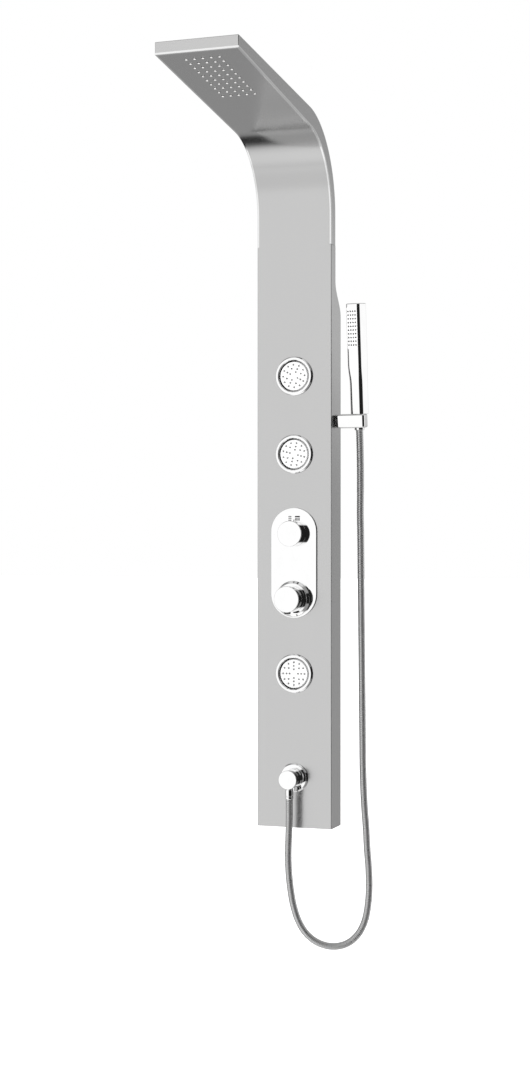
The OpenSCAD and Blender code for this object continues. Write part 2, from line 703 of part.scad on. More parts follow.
module elbow_body() color("gainsboro") at_face(elbow_h) difference() {
    union() {
        rotate_extrude() polygon([
            [0, elbow_flange_t], [elbow_r, elbow_flange_t], [elbow_r, elbow_out - 1],
            [elbow_r - 1, elbow_out], [0, elbow_out]]);
        rod(elbow_tail_r, elbow_tail_back, elbow_flange_t + eps);
    }
    rod(6, elbow_tail_back - cut, port_out);
    translate([0, 0, port_out]) rotate([90, 0, 0]) rod(port_r, 0, elbow_r + cut);
}

module elbow_lock_nut() color("darkgray") at_face(elbow_h)
    hex_nut(30, elbow_tail_r + loose, -sheet_t - 8, -sheet_t);

// A right-angle connector on the elbow's tail inside the housing, where the feed hose comes down
feed_y = -28;
connector_top_h = elbow_h + 30;
elbow_feed = [
    [0, feed_y, up(connector_top_h)], [-3, -29, up(143)], [-12, -35, up(162)], [-28, -44, up(182)],
    [-46, -50, up(203)], [-60, -50, up(228)], [-66, -50, up(260)], [-66, -50, up(340)],
    [-66, -50, up(420)], [-66, -49, up(470)], [-64, -44, up(505)],
    [-side_outlet_x, -40, up(diverter_h - side_spigot_l)]];
module elbow_connector() color("goldenrod") difference() {
    union() {
        at_face(elbow_h) rod(13, elbow_tail_back - 14, elbow_tail_back + 8);
        translate([0, feed_y, up(elbow_h)]) rod(feed_r, 0, connector_top_h - elbow_h);
    }
    at_face(elbow_h) rod(elbow_tail_r + loose, elbow_tail_back, elbow_tail_back + 8 + cut);
    at_face(elbow_h) rod(6, elbow_tail_back - 10, elbow_tail_back + 1);
    translate([0, feed_y, up(elbow_h)]) rod(3.5, 0, connector_top_h - elbow_h + cut);
}

module elbow_supply_hose() color("gray")
    tube(elbow_feed, feed_r - 1, [0, 1, 0], sides = 8, first = [0, 0, 1], last = [0, 0, 1]);

// Shower hose, its lower fitting and the cone nut under the hand shower

hose_foot = route[len(route) - 1];
module hose_lower_fitting() color("gainsboro") translate([0, hose_foot[1], 0]) union() {
    rod(port_r - loose, up(elbow_h) - 16, up(elbow_h) - 6);
    rod(ferrule_r, hose_foot[2], up(elbow_h) - elbow_r - 0.5);
    rod(port_r - loose, up(elbow_h) - elbow_r - 1, up(elbow_h) - 15);
}

module shower_hose() color("lightgray")
    tube(route, hose_r, [0, 1, 0], sides = 12, first = [0, sin(lean), -cos(lean)], last = [0, 0, 1]);

module hose_cone_nut() color("gainsboro") at_holder() difference() {
    rotate_extrude() polygon([
        [0, -nut_drop], [nut_low_r - 0.6, -nut_drop], [nut_low_r, -nut_drop + 0.6],
        [nut_low_r, -bar_half], [nut_top_r, bar_half - 1], [0, bar_half - 1]]);
    rod(thread_r + loose, bar_half - 11, bar_half);
    rod(4, -nut_drop + 6, bar_half);
}

// Holder

module holder_pivot() color("gainsboro") at_holder() rod_x(pin_r, pin_start_x - axis_x, pin_end_x - axis_x);

module holder_washer() color("white") at_holder() translate([panel_w / 2 - axis_x, 0, 0]) rotate([0, 90, 0])
    ring(pin_r + loose, 11, 0, 0.8);

module holder_nut() color("darkgray") at_holder() translate([panel_w / 2 - sheet_t - axis_x, 0, 0])
    rotate([0, -90, 0]) hex_nut(18, pin_r + loose, 0, 5);

module holder_bar() color("gainsboro") at_holder() difference() {
    translate([(bar_wall_x + bar_end_x) / 2 - axis_x, 0, -bar_half]) linear_extrude(2 * bar_half)
        rounded_rect(bar_end_x - bar_wall_x, bar_deep, bar_end_r);
    translate([0, 0, -bar_half - cut])
        cylinder(r1 = nut_low_r + socket_gap - 0.1, r2 = nut_top_r + socket_gap + 0.2,
            h = 2 * bar_half + 2 * cut);
    rod_x(pin_r + running, bar_wall_x - axis_x - cut, pin_end_x + 1 - axis_x);
}

// Hand shower

// Front and side outlines from the grip to the head, as [across, up] points, shrunk by inset
function blend(i) = (1 - cos(180 * i / taper_steps)) / 2;
function step_z(i) = step_low + (step_high - step_low) * i / taper_steps;
function half_width(i, inset) = handle_w / 2 + (handset_w - handle_w) / 2 * blend(i) - inset;
function front_y(i, inset) = -handle_d / 2 + (head_front + handle_d / 2) * blend(i) + inset;

module handset_form(inset) {
    low = grip_start + inset;
    high = handset_top - inset;
    intersection() {
        across(2 * handset_w) polygon(concat(
            [[handle_d / 2 - inset, low], [front_y(0, inset), low]],
            [for (i = [0 : taper_steps]) [front_y(i, inset), step_z(i)]],
            [[head_front + inset, high], [handle_d / 2 - inset, high]]));
        translate([0, handset_d, 0]) rotate([90, 0, 0]) linear_extrude(2 * handset_d) polygon(concat(
            [[-half_width(0, inset), low], [half_width(0, inset), low]],
            [for (i = [0 : taper_steps]) [half_width(i, inset), step_z(i)]],
            [[half_width(taper_steps, inset), high], [-half_width(taper_steps, inset), high]],
            [for (i = [taper_steps : -1 : 0]) [-half_width(i, inset), step_z(i)]]));
        translate([0, (handle_d / 2 + head_front) / 2, 0]) linear_extrude(handset_top + 1)
            rounded_rect(handset_w - 2 * inset, handset_d - 2 * inset, 5);
    }
}

spray_low = spray_top - (spray_rows - 1) * spray_pitch_z;
module spray_grid() for (i = [0 : spray_cols - 1], j = [0 : spray_rows - 1])
    translate([(i - (spray_cols - 1) / 2) * spray_pitch_x, head_front, spray_low + j * spray_pitch_z])
        rotate([90, 0, 0]) children();
module spray_plate_shape(extra) translate([0, 0, spray_low - spray_margin - extra])
    translate([-spray_plate_w / 2 - extra, head_front - cut, 0])
        cube([spray_plate_w + 2 * extra, spray_plate_t + cut,
            spray_top - spray_low + 2 * (spray_margin + extra)]);

module handset_body() color("gainsboro") at_handset() difference() {
    handset_form(0);
    handset_form(handset_wall);
    rod(8 + loose, bar_half - cut, bar_half + 10);
    spray_plate_shape(0);
}

module handset_spray_plate() color("gainsboro") at_handset() difference() {
    intersection() {
        spray_plate_shape(-0.1);
        translate([-50, head_front, 0]) cube([100, 10, 300]);
    }
    spray_grid() rod(1.05, -spray_plate_t - cut, cut);
}

module handset_nozzles() color("dimgray") at_handset() spray_grid() rod(1, -spray_plate_t, 0.6);

module handset_inlet() color("goldenrod") at_handset() difference() {
    union() {
        rod(thread_r, bar_half - 9, bar_half - 0.2);
        rod(8, bar_half - 1, bar_half + 8);
    }
    rod(5, 0, bar_half + 9);
}

front_panel();
edge_trim();
head_casing();
neck_back_plate();
bottom_cover();
upper_hanger();
lower_hanger();
upper_wall_bracket();
lower_wall_bracket();
rain_nozzles();
rain_chamber_base();
rain_chamber_lid();
rain_supply_hose();
upper_jet_bezel();
middle_jet_bezel();
lower_jet_bezel();
upper_jet_housing();
middle_jet_housing();
lower_jet_housing();
upper_jet_seat_ring();
middle_jet_seat_ring();
lower_jet_seat_ring();
upper_jet_face();
middle_jet_face();
lower_jet_face();
jet_lock_nuts();
jet_gaskets();
jet_feed_hoses();
control_plate();
control_plate_gasket();
valve_body();
hot_inlet();
cold_inlet();
diverter_cartridge();
diverter_spindle();
diverter_knob();
diverter_set_screw();
thermostat_cartridge();
temperature_spindle();
temperature_knob();
temperature_set_screw();
temperature_collar();
safety_button();
button_spring();
elbow_flange();
elbow_body();
elbow_lock_nut();
elbow_connector();
elbow_supply_hose();
hose_lower_fitting();
shower_hose();
hose_cone_nut();
holder_pivot();
holder_washer();
holder_nut();
holder_bar();
handset_body();
handset_spray_plate();
handset_nozzles();
handset_inlet();
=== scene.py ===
"""Wall-mounted rainfall shower column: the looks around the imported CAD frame, in metres."""

import json
import math

import bpy
import bmesh
from mathutils import Matrix, Vector, geometry


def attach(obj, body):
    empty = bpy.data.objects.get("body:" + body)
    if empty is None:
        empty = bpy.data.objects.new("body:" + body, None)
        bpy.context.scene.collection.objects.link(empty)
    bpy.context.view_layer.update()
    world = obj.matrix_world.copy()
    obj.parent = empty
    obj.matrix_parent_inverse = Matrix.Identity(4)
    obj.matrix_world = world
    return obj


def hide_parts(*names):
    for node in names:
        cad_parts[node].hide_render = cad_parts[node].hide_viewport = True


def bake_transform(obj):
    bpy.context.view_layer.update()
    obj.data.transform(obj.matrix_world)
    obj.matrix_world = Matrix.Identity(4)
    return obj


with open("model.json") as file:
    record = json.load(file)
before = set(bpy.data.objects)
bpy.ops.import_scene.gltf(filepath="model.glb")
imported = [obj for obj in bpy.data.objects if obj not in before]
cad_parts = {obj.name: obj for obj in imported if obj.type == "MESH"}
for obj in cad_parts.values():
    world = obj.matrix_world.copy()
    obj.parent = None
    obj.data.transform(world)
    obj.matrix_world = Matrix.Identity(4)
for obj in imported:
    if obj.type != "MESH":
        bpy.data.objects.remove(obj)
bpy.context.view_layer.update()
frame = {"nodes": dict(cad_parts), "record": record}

MM = 0.001
HIGH = 930                      # height of the origin above the panel's bottom edge, in mm


def up(h):
    """Height in the frame, in metres, of a place h mm above the panel's bottom edge."""
    return (h - HIGH) * MM


# ---------------------------------------------------------------- dimensions, as in the part
HALF_W = 0.075
FACE_Y = -0.060
SEAM_Z = up(1118)
SEAM_GAP = 0.0005
BOTTOM_Z = up(0)
NECK_BACK_Y = -0.034
HOUSING_TOP_Z, NECK_START_Z = up(985), up(1050)
SHEET_T = 0.0015
TRIM_W = 0.0035
CASING_T = 0.0012
FOLD_R = 0.0012
BEND_R, BEND_ANGLE = 0.143, math.radians(82.75)
BEND_C = (FACE_Y - BEND_R, up(1174))
HEAD_END_Y = FACE_Y - 0.512
HEAD_END_T = 0.022
BACK_R, BACK_ANGLE = 0.175, math.radians(84.75)
JETS = {"upper": up(868), "middle": up(718), "lower": up(296)}
DIVERTER_Z, TEMPERATURE_Z, PLATE_Z = up(565), up(440), up(509)
ELBOW_Z = up(96)
HOSE_D = 0.014
LEAN, SPRAY_TURN = math.radians(6), math.radians(-18)

# The shower hose's route in mm, from the nut under the hand shower to the elbow's fitting
ROUTE = [
    [119, -20, -166], [119, -16, -205], [119, -14, -245], [119, -14, -285], [119, -15, -325],
    [120, -16, -365], [121, -18, -405], [122, -20, -445], [123, -22, -485], [124, -24, -525],
    [125, -26, -565], [126, -28, -605], [127, -30, -645], [128, -32, -685], [129, -34, -725],
    [130, -36, -765], [131, -38, -805], [133, -41, -845], [136, -44, -885], [140, -47, -925],
    [143, -50, -963], [147, -53, -1002], [149, -57, -1040], [147, -61, -1075], [141, -64, -1103],
    [128, -67, -1127], [107, -70, -1144], [80, -73, -1150], [53, -76, -1144], [31, -79, -1128],
    [16, -82, -1104], [7, -85, -1075], [2, -87, -1045], [-1, -89, -1012], [-2, -90, -978],
    [-1, -90, -943], [0, -90, -908], [0, -90, -872]]
PATH = [Vector(p) * MM for p in reversed(ROUTE)]      # from the elbow's fitting upwards
NUT_END = PATH[-1]
HOSE_EXIT = PATH[0]

AT_HOLDER = (Matrix.Translation(NUT_END) @ Matrix.Rotation(LEAN, 4, "X")
             @ Matrix.Translation((0, 0, 0.018)))
AT_HANDSET = AT_HOLDER @ Matrix.Rotation(SPRAY_TURN, 4, "Z")
HEAD_START = (BEND_C[0] + BEND_R * math.cos(BEND_ANGLE), BEND_C[1] + BEND_R * math.sin(BEND_ANGLE))
ON_HEAD = (Matrix.Translation((0, HEAD_START[0], HEAD_START[1]))
           @ Matrix.Rotation(math.pi / 2 + BEND_ANGLE, 4, "X"))


def at_face(z, x=0.0):
    """Local z points at the room, local y points up."""
    return Matrix.Translation((x, FACE_Y, z)) @ Matrix.Rotation(math.pi / 2, 4, "X")


# ---------------------------------------------------------------- camera
camera_data = bpy.data.cameras.new("camera")
camera_data.sensor_width = 36
camera_data.lens = 61.59
camera = bpy.data.objects.new("camera", camera_data)
camera.location = (1.130, -3.436, -0.379)
camera.rotation_euler = (math.radians(90), 0, math.radians(19.41))
bpy.context.scene.collection.objects.link(camera)
bpy.context.scene.camera = camera


# ---------------------------------------------------------------- materials
def node_adder(tree):
    """A function that adds a node to the tree, sets its properties, and links or sets its inputs."""
    def add(kind, inputs=None, **settings):
        node = tree.nodes.new(kind)
        for key, value in settings.items():
            setattr(node, key, value)
        for key, value in (inputs or {}).items():
            if isinstance(value, bpy.types.NodeSocket):
                tree.links.new(value, node.inputs[key])
            else:
                node.inputs[key].default_value = value
        return node
    return add


def new_material(name):
    """A material, its Principled shader, and helpers that add a node and wire one to the shader."""
    material = bpy.data.materials.new(name)
    material.use_nodes = True
    tree = material.node_tree
    shader = tree.nodes["Principled BSDF"]

    def wire(socket, target):
        tree.links.new(socket, shader.inputs[target])

    return material, shader, node_adder(tree), wire


def grey(value, warm=0.0):
    """A grey, or a slightly warm one."""
    return (value * (1 + warm), value, value * (1 - warm), 1)


def stretched_noise(add, scale, detail=3.0, seed=0.0):
    """Noise in object coordinates, stretched by three scales: fine streaks along the smallest."""
    place = add("ShaderNodeTexCoord")
    mapping = add("ShaderNodeMapping", {"Vector": place.outputs["Object"], "Scale": scale,
                                        "Location": (seed, seed * 0.7, seed * 1.3)})
    return add("ShaderNodeTexNoise", {"Vector": mapping.outputs[0], "Scale": 1.0, "Detail": detail,
                                      "Roughness": 0.6})


def remap(add, socket, low, high, start=0.3, end=0.7):
    """The socket's values from start to end, stretched over low to high."""
    node = add("ShaderNodeMapRange", {"Value": socket, "From Min": start, "From Max": end,
                                      "To Min": low, "To Max": high})
    return node.outputs["Result"]


def two_tone(add, socket, dark, light, start=0.3, end=0.7):
    """A colour between dark and light, by the socket's value."""
    ramp = add("ShaderNodeValToRGB", {"Fac": socket})
    ramp.color_ramp.elements[0].position, ramp.color_ramp.elements[0].color = start, dark
    ramp.color_ramp.elements[1].position, ramp.color_ramp.elements[1].color = end, light
    return ramp.outputs["Color"]


def bumped(add, wire, socket, strength, distance):
    """Raises the surface by the socket's value."""
    bump = add("ShaderNodeBump", {"Height": socket, "Strength": strength, "Distance": distance})
    wire(bump.outputs[0], "Normal")


def brushed(name, streak, tone, rough, tangent_axis, rotation, anisotropic=0.55, seed=0.0):
    """Brushed stainless steel: streaks along one axis, fine scratches in them, and faint clouds."""
    material, shader, add, wire = new_material(name)
    shader.inputs["Metallic"].default_value = 1.0
    shader.inputs["Anisotropic"].default_value = anisotropic
    shader.inputs["Anisotropic Rotation"].default_value = rotation
    tangent = add("ShaderNodeTangent", direction_type="RADIAL", axis=tangent_axis)
    wire(tangent.outputs[0], "Tangent")
    fine = stretched_noise(add, streak, 4.0, seed)
    clouds = stretched_noise(add, (7, 7, 3), 2.0, seed + 3)
    mixed = add("ShaderNodeMix", {0: 0.35, 2: fine.outputs["Fac"], 3: clouds.outputs["Fac"]},
                data_type="FLOAT")
    wire(two_tone(add, mixed.outputs[0], grey(tone * 0.975), grey(tone * 1.02, 0.004)), "Base Color")
    wire(remap(add, fine.outputs["Fac"], rough - 0.02, rough + 0.03), "Roughness")
    bumped(add, wire, fine.outputs["Fac"], 0.05, 0.00003)
    return material


def polished(name, tone, rough, warm=0.0, spots=60, bump=0.03):
    """Polished or plated metal, with faint smears in its gloss."""
    material, shader, add, wire = new_material(name)
    shader.inputs["Metallic"].default_value = 1.0
    smears = stretched_noise(add, (spots, spots, spots * 0.6), 3.0, 1.7)
    tones = two_tone(add, smears.outputs["Fac"], grey(tone * 0.97, warm), grey(tone, warm))
    wire(tones, "Base Color")
    wire(remap(add, smears.outputs["Fac"], rough * 0.7, rough * 1.5), "Roughness")
    grain = stretched_noise(add, (spots * 9,) * 3, 2.0, 5.1)
    bumped(add, wire, grain.outputs["Fac"], bump, 0.00003)
    return material


def moulded(name, dark, light, rough, grain=900, bump=0.15, coat=0.0):
    """Moulded plastic or rubber: slight cloudiness, with a fine grain in its surface."""
    material, shader, add, wire = new_material(name)
    shader.inputs["Coat Weight"].default_value = coat
    clouds = stretched_noise(add, (45, 45, 45), 3.0, 2.3)
    wire(two_tone(add, clouds.outputs["Fac"], dark, light), "Base Color")
    wire(remap(add, clouds.outputs["Fac"], rough - 0.05, rough + 0.07), "Roughness")
    fine = stretched_noise(add, (grain,) * 3, 2.0, 0.4)
    bumped(add, wire, fine.outputs["Fac"], bump, 0.00006)
    return material


def cast_brass(name):
    """Brass as cast and machined: a warm metal with a sandy skin."""
    material, shader, add, wire = new_material(name)
    shader.inputs["Metallic"].default_value = 1.0
    sand = stretched_noise(add, (700, 700, 700), 4.0, 8.2)
    clouds = stretched_noise(add, (30, 30, 30), 3.0, 2.9)
    tones = two_tone(add, clouds.outputs["Fac"], (0.52, 0.36, 0.14, 1), (0.70, 0.52, 0.24, 1))
    wire(tones, "Base Color")
    wire(remap(add, sand.outputs["Fac"], 0.28, 0.5), "Roughness")
    bumped(add, wire, sand.outputs["Fac"], 0.35, 0.0002)
    return material


def braided(name):
    """Stainless braid over a rubber hose: two crossing sets of wires."""
    material, shader, add, wire = new_material(name)
    shader.inputs["Metallic"].default_value = 0.9
    place = add("ShaderNodeTexCoord")
    waves = []
    for turn in (0.7, -0.7):
        mapping = add("ShaderNodeMapping", {"Vector": place.outputs["Object"],
                                            "Rotation": (0, turn, 0)})
        waves.append(add("ShaderNodeTexWave", {"Vector": mapping.outputs[0], "Scale": 130.0,
                                               "Distortion": 0.4}, bands_direction="Z"))
    crossed = add("ShaderNodeMath", {0: waves[0].outputs["Fac"], 1: waves[1].outputs["Fac"]},
                  operation="MAXIMUM")
    wire(two_tone(add, crossed.outputs[0], grey(0.16), grey(0.62), 0.35, 0.85), "Base Color")
    wire(remap(add, crossed.outputs[0], 0.55, 0.28), "Roughness")
    bumped(add, wire, crossed.outputs[0], 0.6, 0.0005)
    return material


STEEL_TONE = 0.53
steel_front = brushed("brushed_steel_front", (3, 1100, 1100), STEEL_TONE, 0.20, "X", 0.25)
# The sides take the front's steel brushed the other way, with its tone 10 per cent lower: the brushing
# is real, the darker tone is painted shade for the sides that turn away from the light.
shaded_steel_side = brushed("shaded_brushed_steel_side", (700, 3, 900), STEEL_TONE * 0.9, 0.22, "Z", 0.0, seed=4.0)
steel_edge = polished("polished_steel", 0.78, 0.10)
chrome = polished("chrome", 0.90, 0.035)
chrome_knob = polished("chrome_knob", 0.90, 0.03, spots=90)
hose_metal = polished("hose_metal", 0.62, 0.30, spots=200)
zinc = polished("zinc_plate", 0.50, 0.38, warm=0.02, spots=80, bump=0.3)
brass = cast_brass("brass")
braid = braided("braided_hose")
white_plastic = moulded("white_plastic", grey(0.62, 0.01), grey(0.74, 0.01), 0.38)
face_plastic = moulded("face_plastic", grey(0.80), grey(0.88), 0.22, bump=0.08, coat=0.3)
black_plastic = moulded("black_plastic", grey(0.018), grey(0.035), 0.42)
silicone = moulded("silicone", grey(0.16), grey(0.24), 0.5, bump=0.1)
dark_silicone = moulded("dark_silicone", grey(0.04), grey(0.07), 0.5, bump=0.1)
rubber = moulded("rubber", grey(0.02), grey(0.04), 0.6, bump=0.3)
mark_ink = moulded("mark_ink", grey(0.03), grey(0.05), 0.4, bump=0.05)

NODE_LOOKS = {
    "brushed_steel": shaded_steel_side, "bracket_steel": zinc, "polished_steel": steel_edge, "chrome": chrome,
    "hose_metal": hose_metal, "brass": brass, "white_plastic": white_plastic,
    "face_plastic": face_plastic, "black_plastic": black_plastic, "silicone": silicone,
    "gasket_rubber": rubber, "hose_rubber": braid}


# ---------------------------------------------------------------- mesh helpers
def quarter(steps):
    """The angles of a quarter turn, from 0, in equal steps."""
    return [math.pi / 2 * k / steps for k in range(steps + 1)]


def arc_corner(before, corner, after, radius, steps):
    """The points of an arc of that radius that rounds off one corner."""
    a, c, b = Vector(before), Vector(corner), Vector(after)
    u, v = (a - c), (b - c)
    room = 0.49 * min(u.length, v.length)
    u.normalize(), v.normalize()
    half = u.angle(v, math.pi) / 2
    if radius <= 0 or half > math.radians(88):
        return [tuple(c)]
    reach = min(radius / math.tan(half), room)
    radius = reach * math.tan(half)
    centre = c + (u + v).normalized() * (radius / math.sin(half))
    start, end = c + u * reach - centre, c + v * reach - centre
    sweep = start.angle(end, 0)
    points = []
    for i in range(steps + 1):
        t = i / steps
        points.append(tuple(centre + (start * math.sin((1 - t) * sweep) + end * math.sin(t * sweep))
                            / max(math.sin(sweep), 1e-9)))
    return points


def softened(points, radii, closed=True, steps=4):
    """An outline with its corners rounded. radii is one number or one for each corner."""
    n = len(points)
    radii = radii if isinstance(radii, (list, tuple)) else [radii] * n
    made = []
    for i, p in enumerate(points):
        if not closed and i in (0, n - 1):
            made.append(tuple(p))
        else:
            made += arc_corner(points[i - 1], p, points[(i + 1) % n], radii[i], steps)
    return made


def build(name, verts, faces, looks, face_looks=None, sharp=32, place=None):
    """A mesh object with merged points, outward normals, and sharp edges by angle."""
    mesh = bpy.data.meshes.new(name)
    mesh.from_pydata([tuple(v) for v in verts], [], [tuple(f) for f in faces])
    for look in looks:
        mesh.materials.append(look)
    if face_looks:
        mesh.polygons.foreach_set("material_index", face_looks)
    work = bmesh.new()
    work.from_mesh(mesh)
    bmesh.ops.remove_doubles(work, verts=work.verts, dist=2e-6)
    bmesh.ops.dissolve_degenerate(work, dist=1e-7, edges=work.edges)
    bmesh.ops.recalc_face_normals(work, faces=work.faces)
    if place is not None:
        bmesh.ops.transform(work, matrix=place, verts=work.verts)
    work.to_mesh(mesh)
    work.free()
    mesh.shade_smooth()
    mesh.set_sharp_from_angle(angle=math.radians(sharp))
    made = bpy.data.objects.new(name, mesh)
    bpy.context.scene.collection.objects.link(made)
    return made


def weighted(made):
    """Large faces keep their own normals, so that fillets shade cleanly."""
    modifier = made.modifiers.new("weighted", "WEIGHTED_NORMAL")
    modifier.keep_sharp = True
    modifier.weight = 100
    return made


def thickened(made, thickness, sharp=32):
    """Gives a surface its thickness, inwards, and keeps the result as its mesh."""
    modifier = made.modifiers.new("solid", "SOLIDIFY")
    modifier.thickness = thickness
    modifier.offset = -1
    modifier.use_even_offset = True
    solid = bpy.data.meshes.new_from_object(
        made.evaluated_get(bpy.context.evaluated_depsgraph_get()))
    made.modifiers.clear()
    made.data = solid
    solid.set_sharp_from_angle(angle=math.radians(sharp))
    return made


def finished(made, body, slot, *nodes):
    """Weighted normals, the body it rides on, and the nodes it stands for; slot is not used."""
    weighted(made)
    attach(made, body)
    if nodes:
        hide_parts(*nodes)
    return made


def revolved(profile, segments, closed=True):
    """Points and faces of a profile of (radius, height) in mm, turned about local z."""
    verts, faces, n = [], [], len(profile)
    for i in range(segments):
        a, j = 2 * math.pi * i / segments, (i + 1) % segments
        verts += [(r * MM * math.cos(a), r * MM * math.sin(a), h * MM) for r, h in profile]
        faces += [(i * n + k, j * n + k, j * n + (k + 1) % n, i * n + (k + 1) % n)
                  for k in range(n if closed else n - 1)]
    return verts, faces


def lathe(name, profile, look, place, segments=96, closed=True):
    """One turned shape. closed says that the profile closes on itself."""
    verts, faces = revolved(profile, segments, closed)
    return build(name, verts, faces, [look], place=place)


def many(name, profile, places, look, segments):
    """The same turned shape at many places, as one mesh."""
    shape_verts, shape_faces = revolved(profile, segments)
    verts, faces = [], []
    for place in places:
        start = len(verts)
        verts += [tuple(place @ Vector(v)) for v in shape_verts]
        faces += [tuple(start + i for i in face) for face in shape_faces]
    return build(name, verts, faces, [look], sharp=40)


def ring_faces(count, n):
    """Faces between each two of count rings of n points."""
    return [(i * n + k, i * n + (k + 1) % n, (i + 1) * n + (k + 1) % n, (i + 1) * n + k)
            for i in range(count - 1) for k in range(n)]


def loft(name, rings, look, sharp=32, place=None):
    """Joins rings of the same number of points, and closes both ends."""
    n = len(rings[0])
    verts = [p for ring in rings for p in ring]
    faces = ring_faces(len(rings), n)
    faces.append(tuple(range(n - 1, -1, -1)))
    faces.append(tuple((len(rings) - 1) * n + k for k in range(n)))
    return build(name, verts, faces, [look], sharp=sharp, place=place)


def circle(x, y, r, n):
    return [(x + r * math.cos(2 * math.pi * i / n), y + r * math.sin(2 * math.pi * i / n))
            for i in range(n)]


def filled(outline, holes):
    """Triangles of a flat area with holes: points in 2-D, and faces."""
    points, edges = [], []
    for loop in [outline] + holes:
        start = len(points)
        points += [Vector(p) for p in loop]
        edges += [(start + i, start + (i + 1) % len(loop)) for i in range(len(loop))]
    kind = 2 if holes else 1
    verts, _, faces, *_ = geometry.delaunay_2d_cdt(points, edges, [], kind, 1e-9)

    def inside(x, y, loop):
        hit = False
        for i, (ax, ay) in enumerate(loop):
            bx, by = loop[i - 1]
            if (ay > y) != (by > y) and x < (bx - ax) * (y - ay) / (by - ay) + ax:
                hit = not hit
        return hit
    kept = []
    for face in faces:
        x = sum(verts[i][0] for i in face) / len(face)
        y = sum(verts[i][1] for i in face) / len(face)
        if inside(x, y, outline) and not any(inside(x, y, hole) for hole in holes):
            kept.append(tuple(face))
    return [tuple(v) for v in verts], kept


def smooth_path(points, step):
    """A Catmull-Rom curve through the points, resampled at equal steps."""
    fine = []
    for i in range(len(points) - 1):
        p0, p1, p2 = points[max(i - 1, 0)], points[i], points[i + 1]
        p3 = points[min(i + 2, len(points) - 1)]
        for k in range(16):
            t = k / 16
            fine.append(0.5 * ((2 * p1) + (p2 - p0) * t + (2 * p0 - 5 * p1 + 4 * p2 - p3) * t * t
                               + (3 * p1 - p0 - 3 * p2 + p3) * t ** 3))
    fine.append(points[-1].copy())
    lengths = [0.0]
    for a, b in zip(fine, fine[1:]):
        lengths.append(lengths[-1] + (b - a).length)
    count = max(2, round(lengths[-1] / step))
    made, k = [], 0
    for i in range(count + 1):
        want = lengths[-1] * i / count
        while k < len(fine) - 2 and lengths[k + 1] < want:
            k += 1
        t = (want - lengths[k]) / max(lengths[k + 1] - lengths[k], 1e-12)
        made.append(fine[k].lerp(fine[k + 1], min(max(t, 0), 1)))
    return made, lengths[-1]


def swept(name, points, radii, look, sides=16, first=None, last=None, sharp=50):
    """A tube along points, with one radius for each, carried without twist."""
    rings, side = [], Vector((1, 0, 0))
    for i, p in enumerate(points):
        along = (points[min(i + 1, len(points) - 1)] - points[max(i - 1, 0)]).normalized()
        if i == 0 and first is not None:
            along = first.normalized()
        if i == len(points) - 1 and last is not None:
            along = last.normalized()
        side = (side - along * side.dot(along)).normalized()
        other = along.cross(side)
        rings.append([p + radii[i] * (math.cos(2 * math.pi * k / sides) * side
                                      + math.sin(2 * math.pi * k / sides) * other)
                      for k in range(sides)])
    return loft(name, rings, look, sharp=sharp)


# ---------------------------------------------------------------- the shower hose
RIB = 0.0034                    # one turn of the metal strip along the hose
RIB_ROWS = [(0.0, -0.85), (0.18, -0.15), (0.5, 0.0), (0.82, -0.15)]     # share of a turn, mm of radius


def ribbed(name, points, length, radius, sides, first, last):
    """A metal hose: rounded turns of strip with a groove between each two."""
    turns = round(length / RIB)
    fine, _ = smooth_path(points, length / (turns * 40))
    total = len(fine) - 1
    places, radii = [], []
    for i in range(turns):
        for share, depth in RIB_ROWS:
            at = (i + share) / turns * total
            k = min(int(at), total - 1)
            places.append(fine[k].lerp(fine[k + 1], at - k))
            radii.append(radius + depth * MM)
    places.append(fine[-1])
    radii.append(radius - 0.00085)
    return swept(name, places, radii, hose_metal, sides, first, last, sharp=80)


_, HOSE_LENGTH = smooth_path(PATH, 0.01)
nut_direction = Vector((0, -math.sin(LEAN), math.cos(LEAN)))
hose = ribbed("shower_hose_tube", PATH, HOSE_LENGTH, HOSE_D / 2 - 0.0002, 20,
              Vector((0, 0, -1)), nut_direction)
SLEEVE_POINTS = 4
sleeve_length = sum((a - b).length
                    for a, b in zip(PATH[-SLEEVE_POINTS:], PATH[-SLEEVE_POINTS + 1:]))
sleeve = ribbed("shower_hose_top", PATH[-SLEEVE_POINTS:], sleeve_length, HOSE_D / 2, 20,
                (PATH[-SLEEVE_POINTS + 1] - PATH[-SLEEVE_POINTS]), nut_direction)

cone_nut = finished(lathe("hose_nut", softened([
    (4.2, -12), (4.2, -18), (9.0, -18), (9.5, -16.6), (9.5, -13), (12.2, 12), (10.4, 12), (10.4, 2),
    (4.2, 2)], [0.2, 0.4, 1.2, 0.3, 0.3, 0.5, 0.2, 0.2, 0.2]), chrome, AT_HOLDER),
    "handset", "chrome", "hose_cone_nut")
FITTING_FOOT = HOSE_EXIT.z
fitting_place = Matrix.Translation((0, HOSE_EXIT.y, 0))
ferrule_top = (ELBOW_Z - 0.0185) / MM
foot = FITTING_FOOT / MM
ferrule = finished(lathe("hose_ferrule", softened([
    (0, foot), (6.9, foot), (7.75, foot + 1.6), (7.75, foot + 5.2), (7.2, foot + 5.8),
    (7.2, foot + 6.6), (7.75, foot + 7.2), (7.75, ferrule_top - 1.2), (6.9, ferrule_top),
    (6.9, ferrule_top + 11), (0, ferrule_top + 11)],
    [0, 0.4, 0.5, 0.3, 0.2, 0.2, 0.3, 0.6, 0.1, 0.5, 0], closed=False),
    chrome, fitting_place, closed=False), "column", "chrome", "hose_lower_fitting")

finished(sleeve, "handset", "hose_metal")
weighted(hose)
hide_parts("shower_hose")
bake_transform(hose)
tuple(HOSE_EXIT)
[tuple(p) for p in PATH]


# ---------------------------------------------------------------- the panel's front sheet
def turned(c, r, a):
    """The point at that angle on a circle."""
    return (c[0] + r * math.cos(a), c[1] + r * math.sin(a))


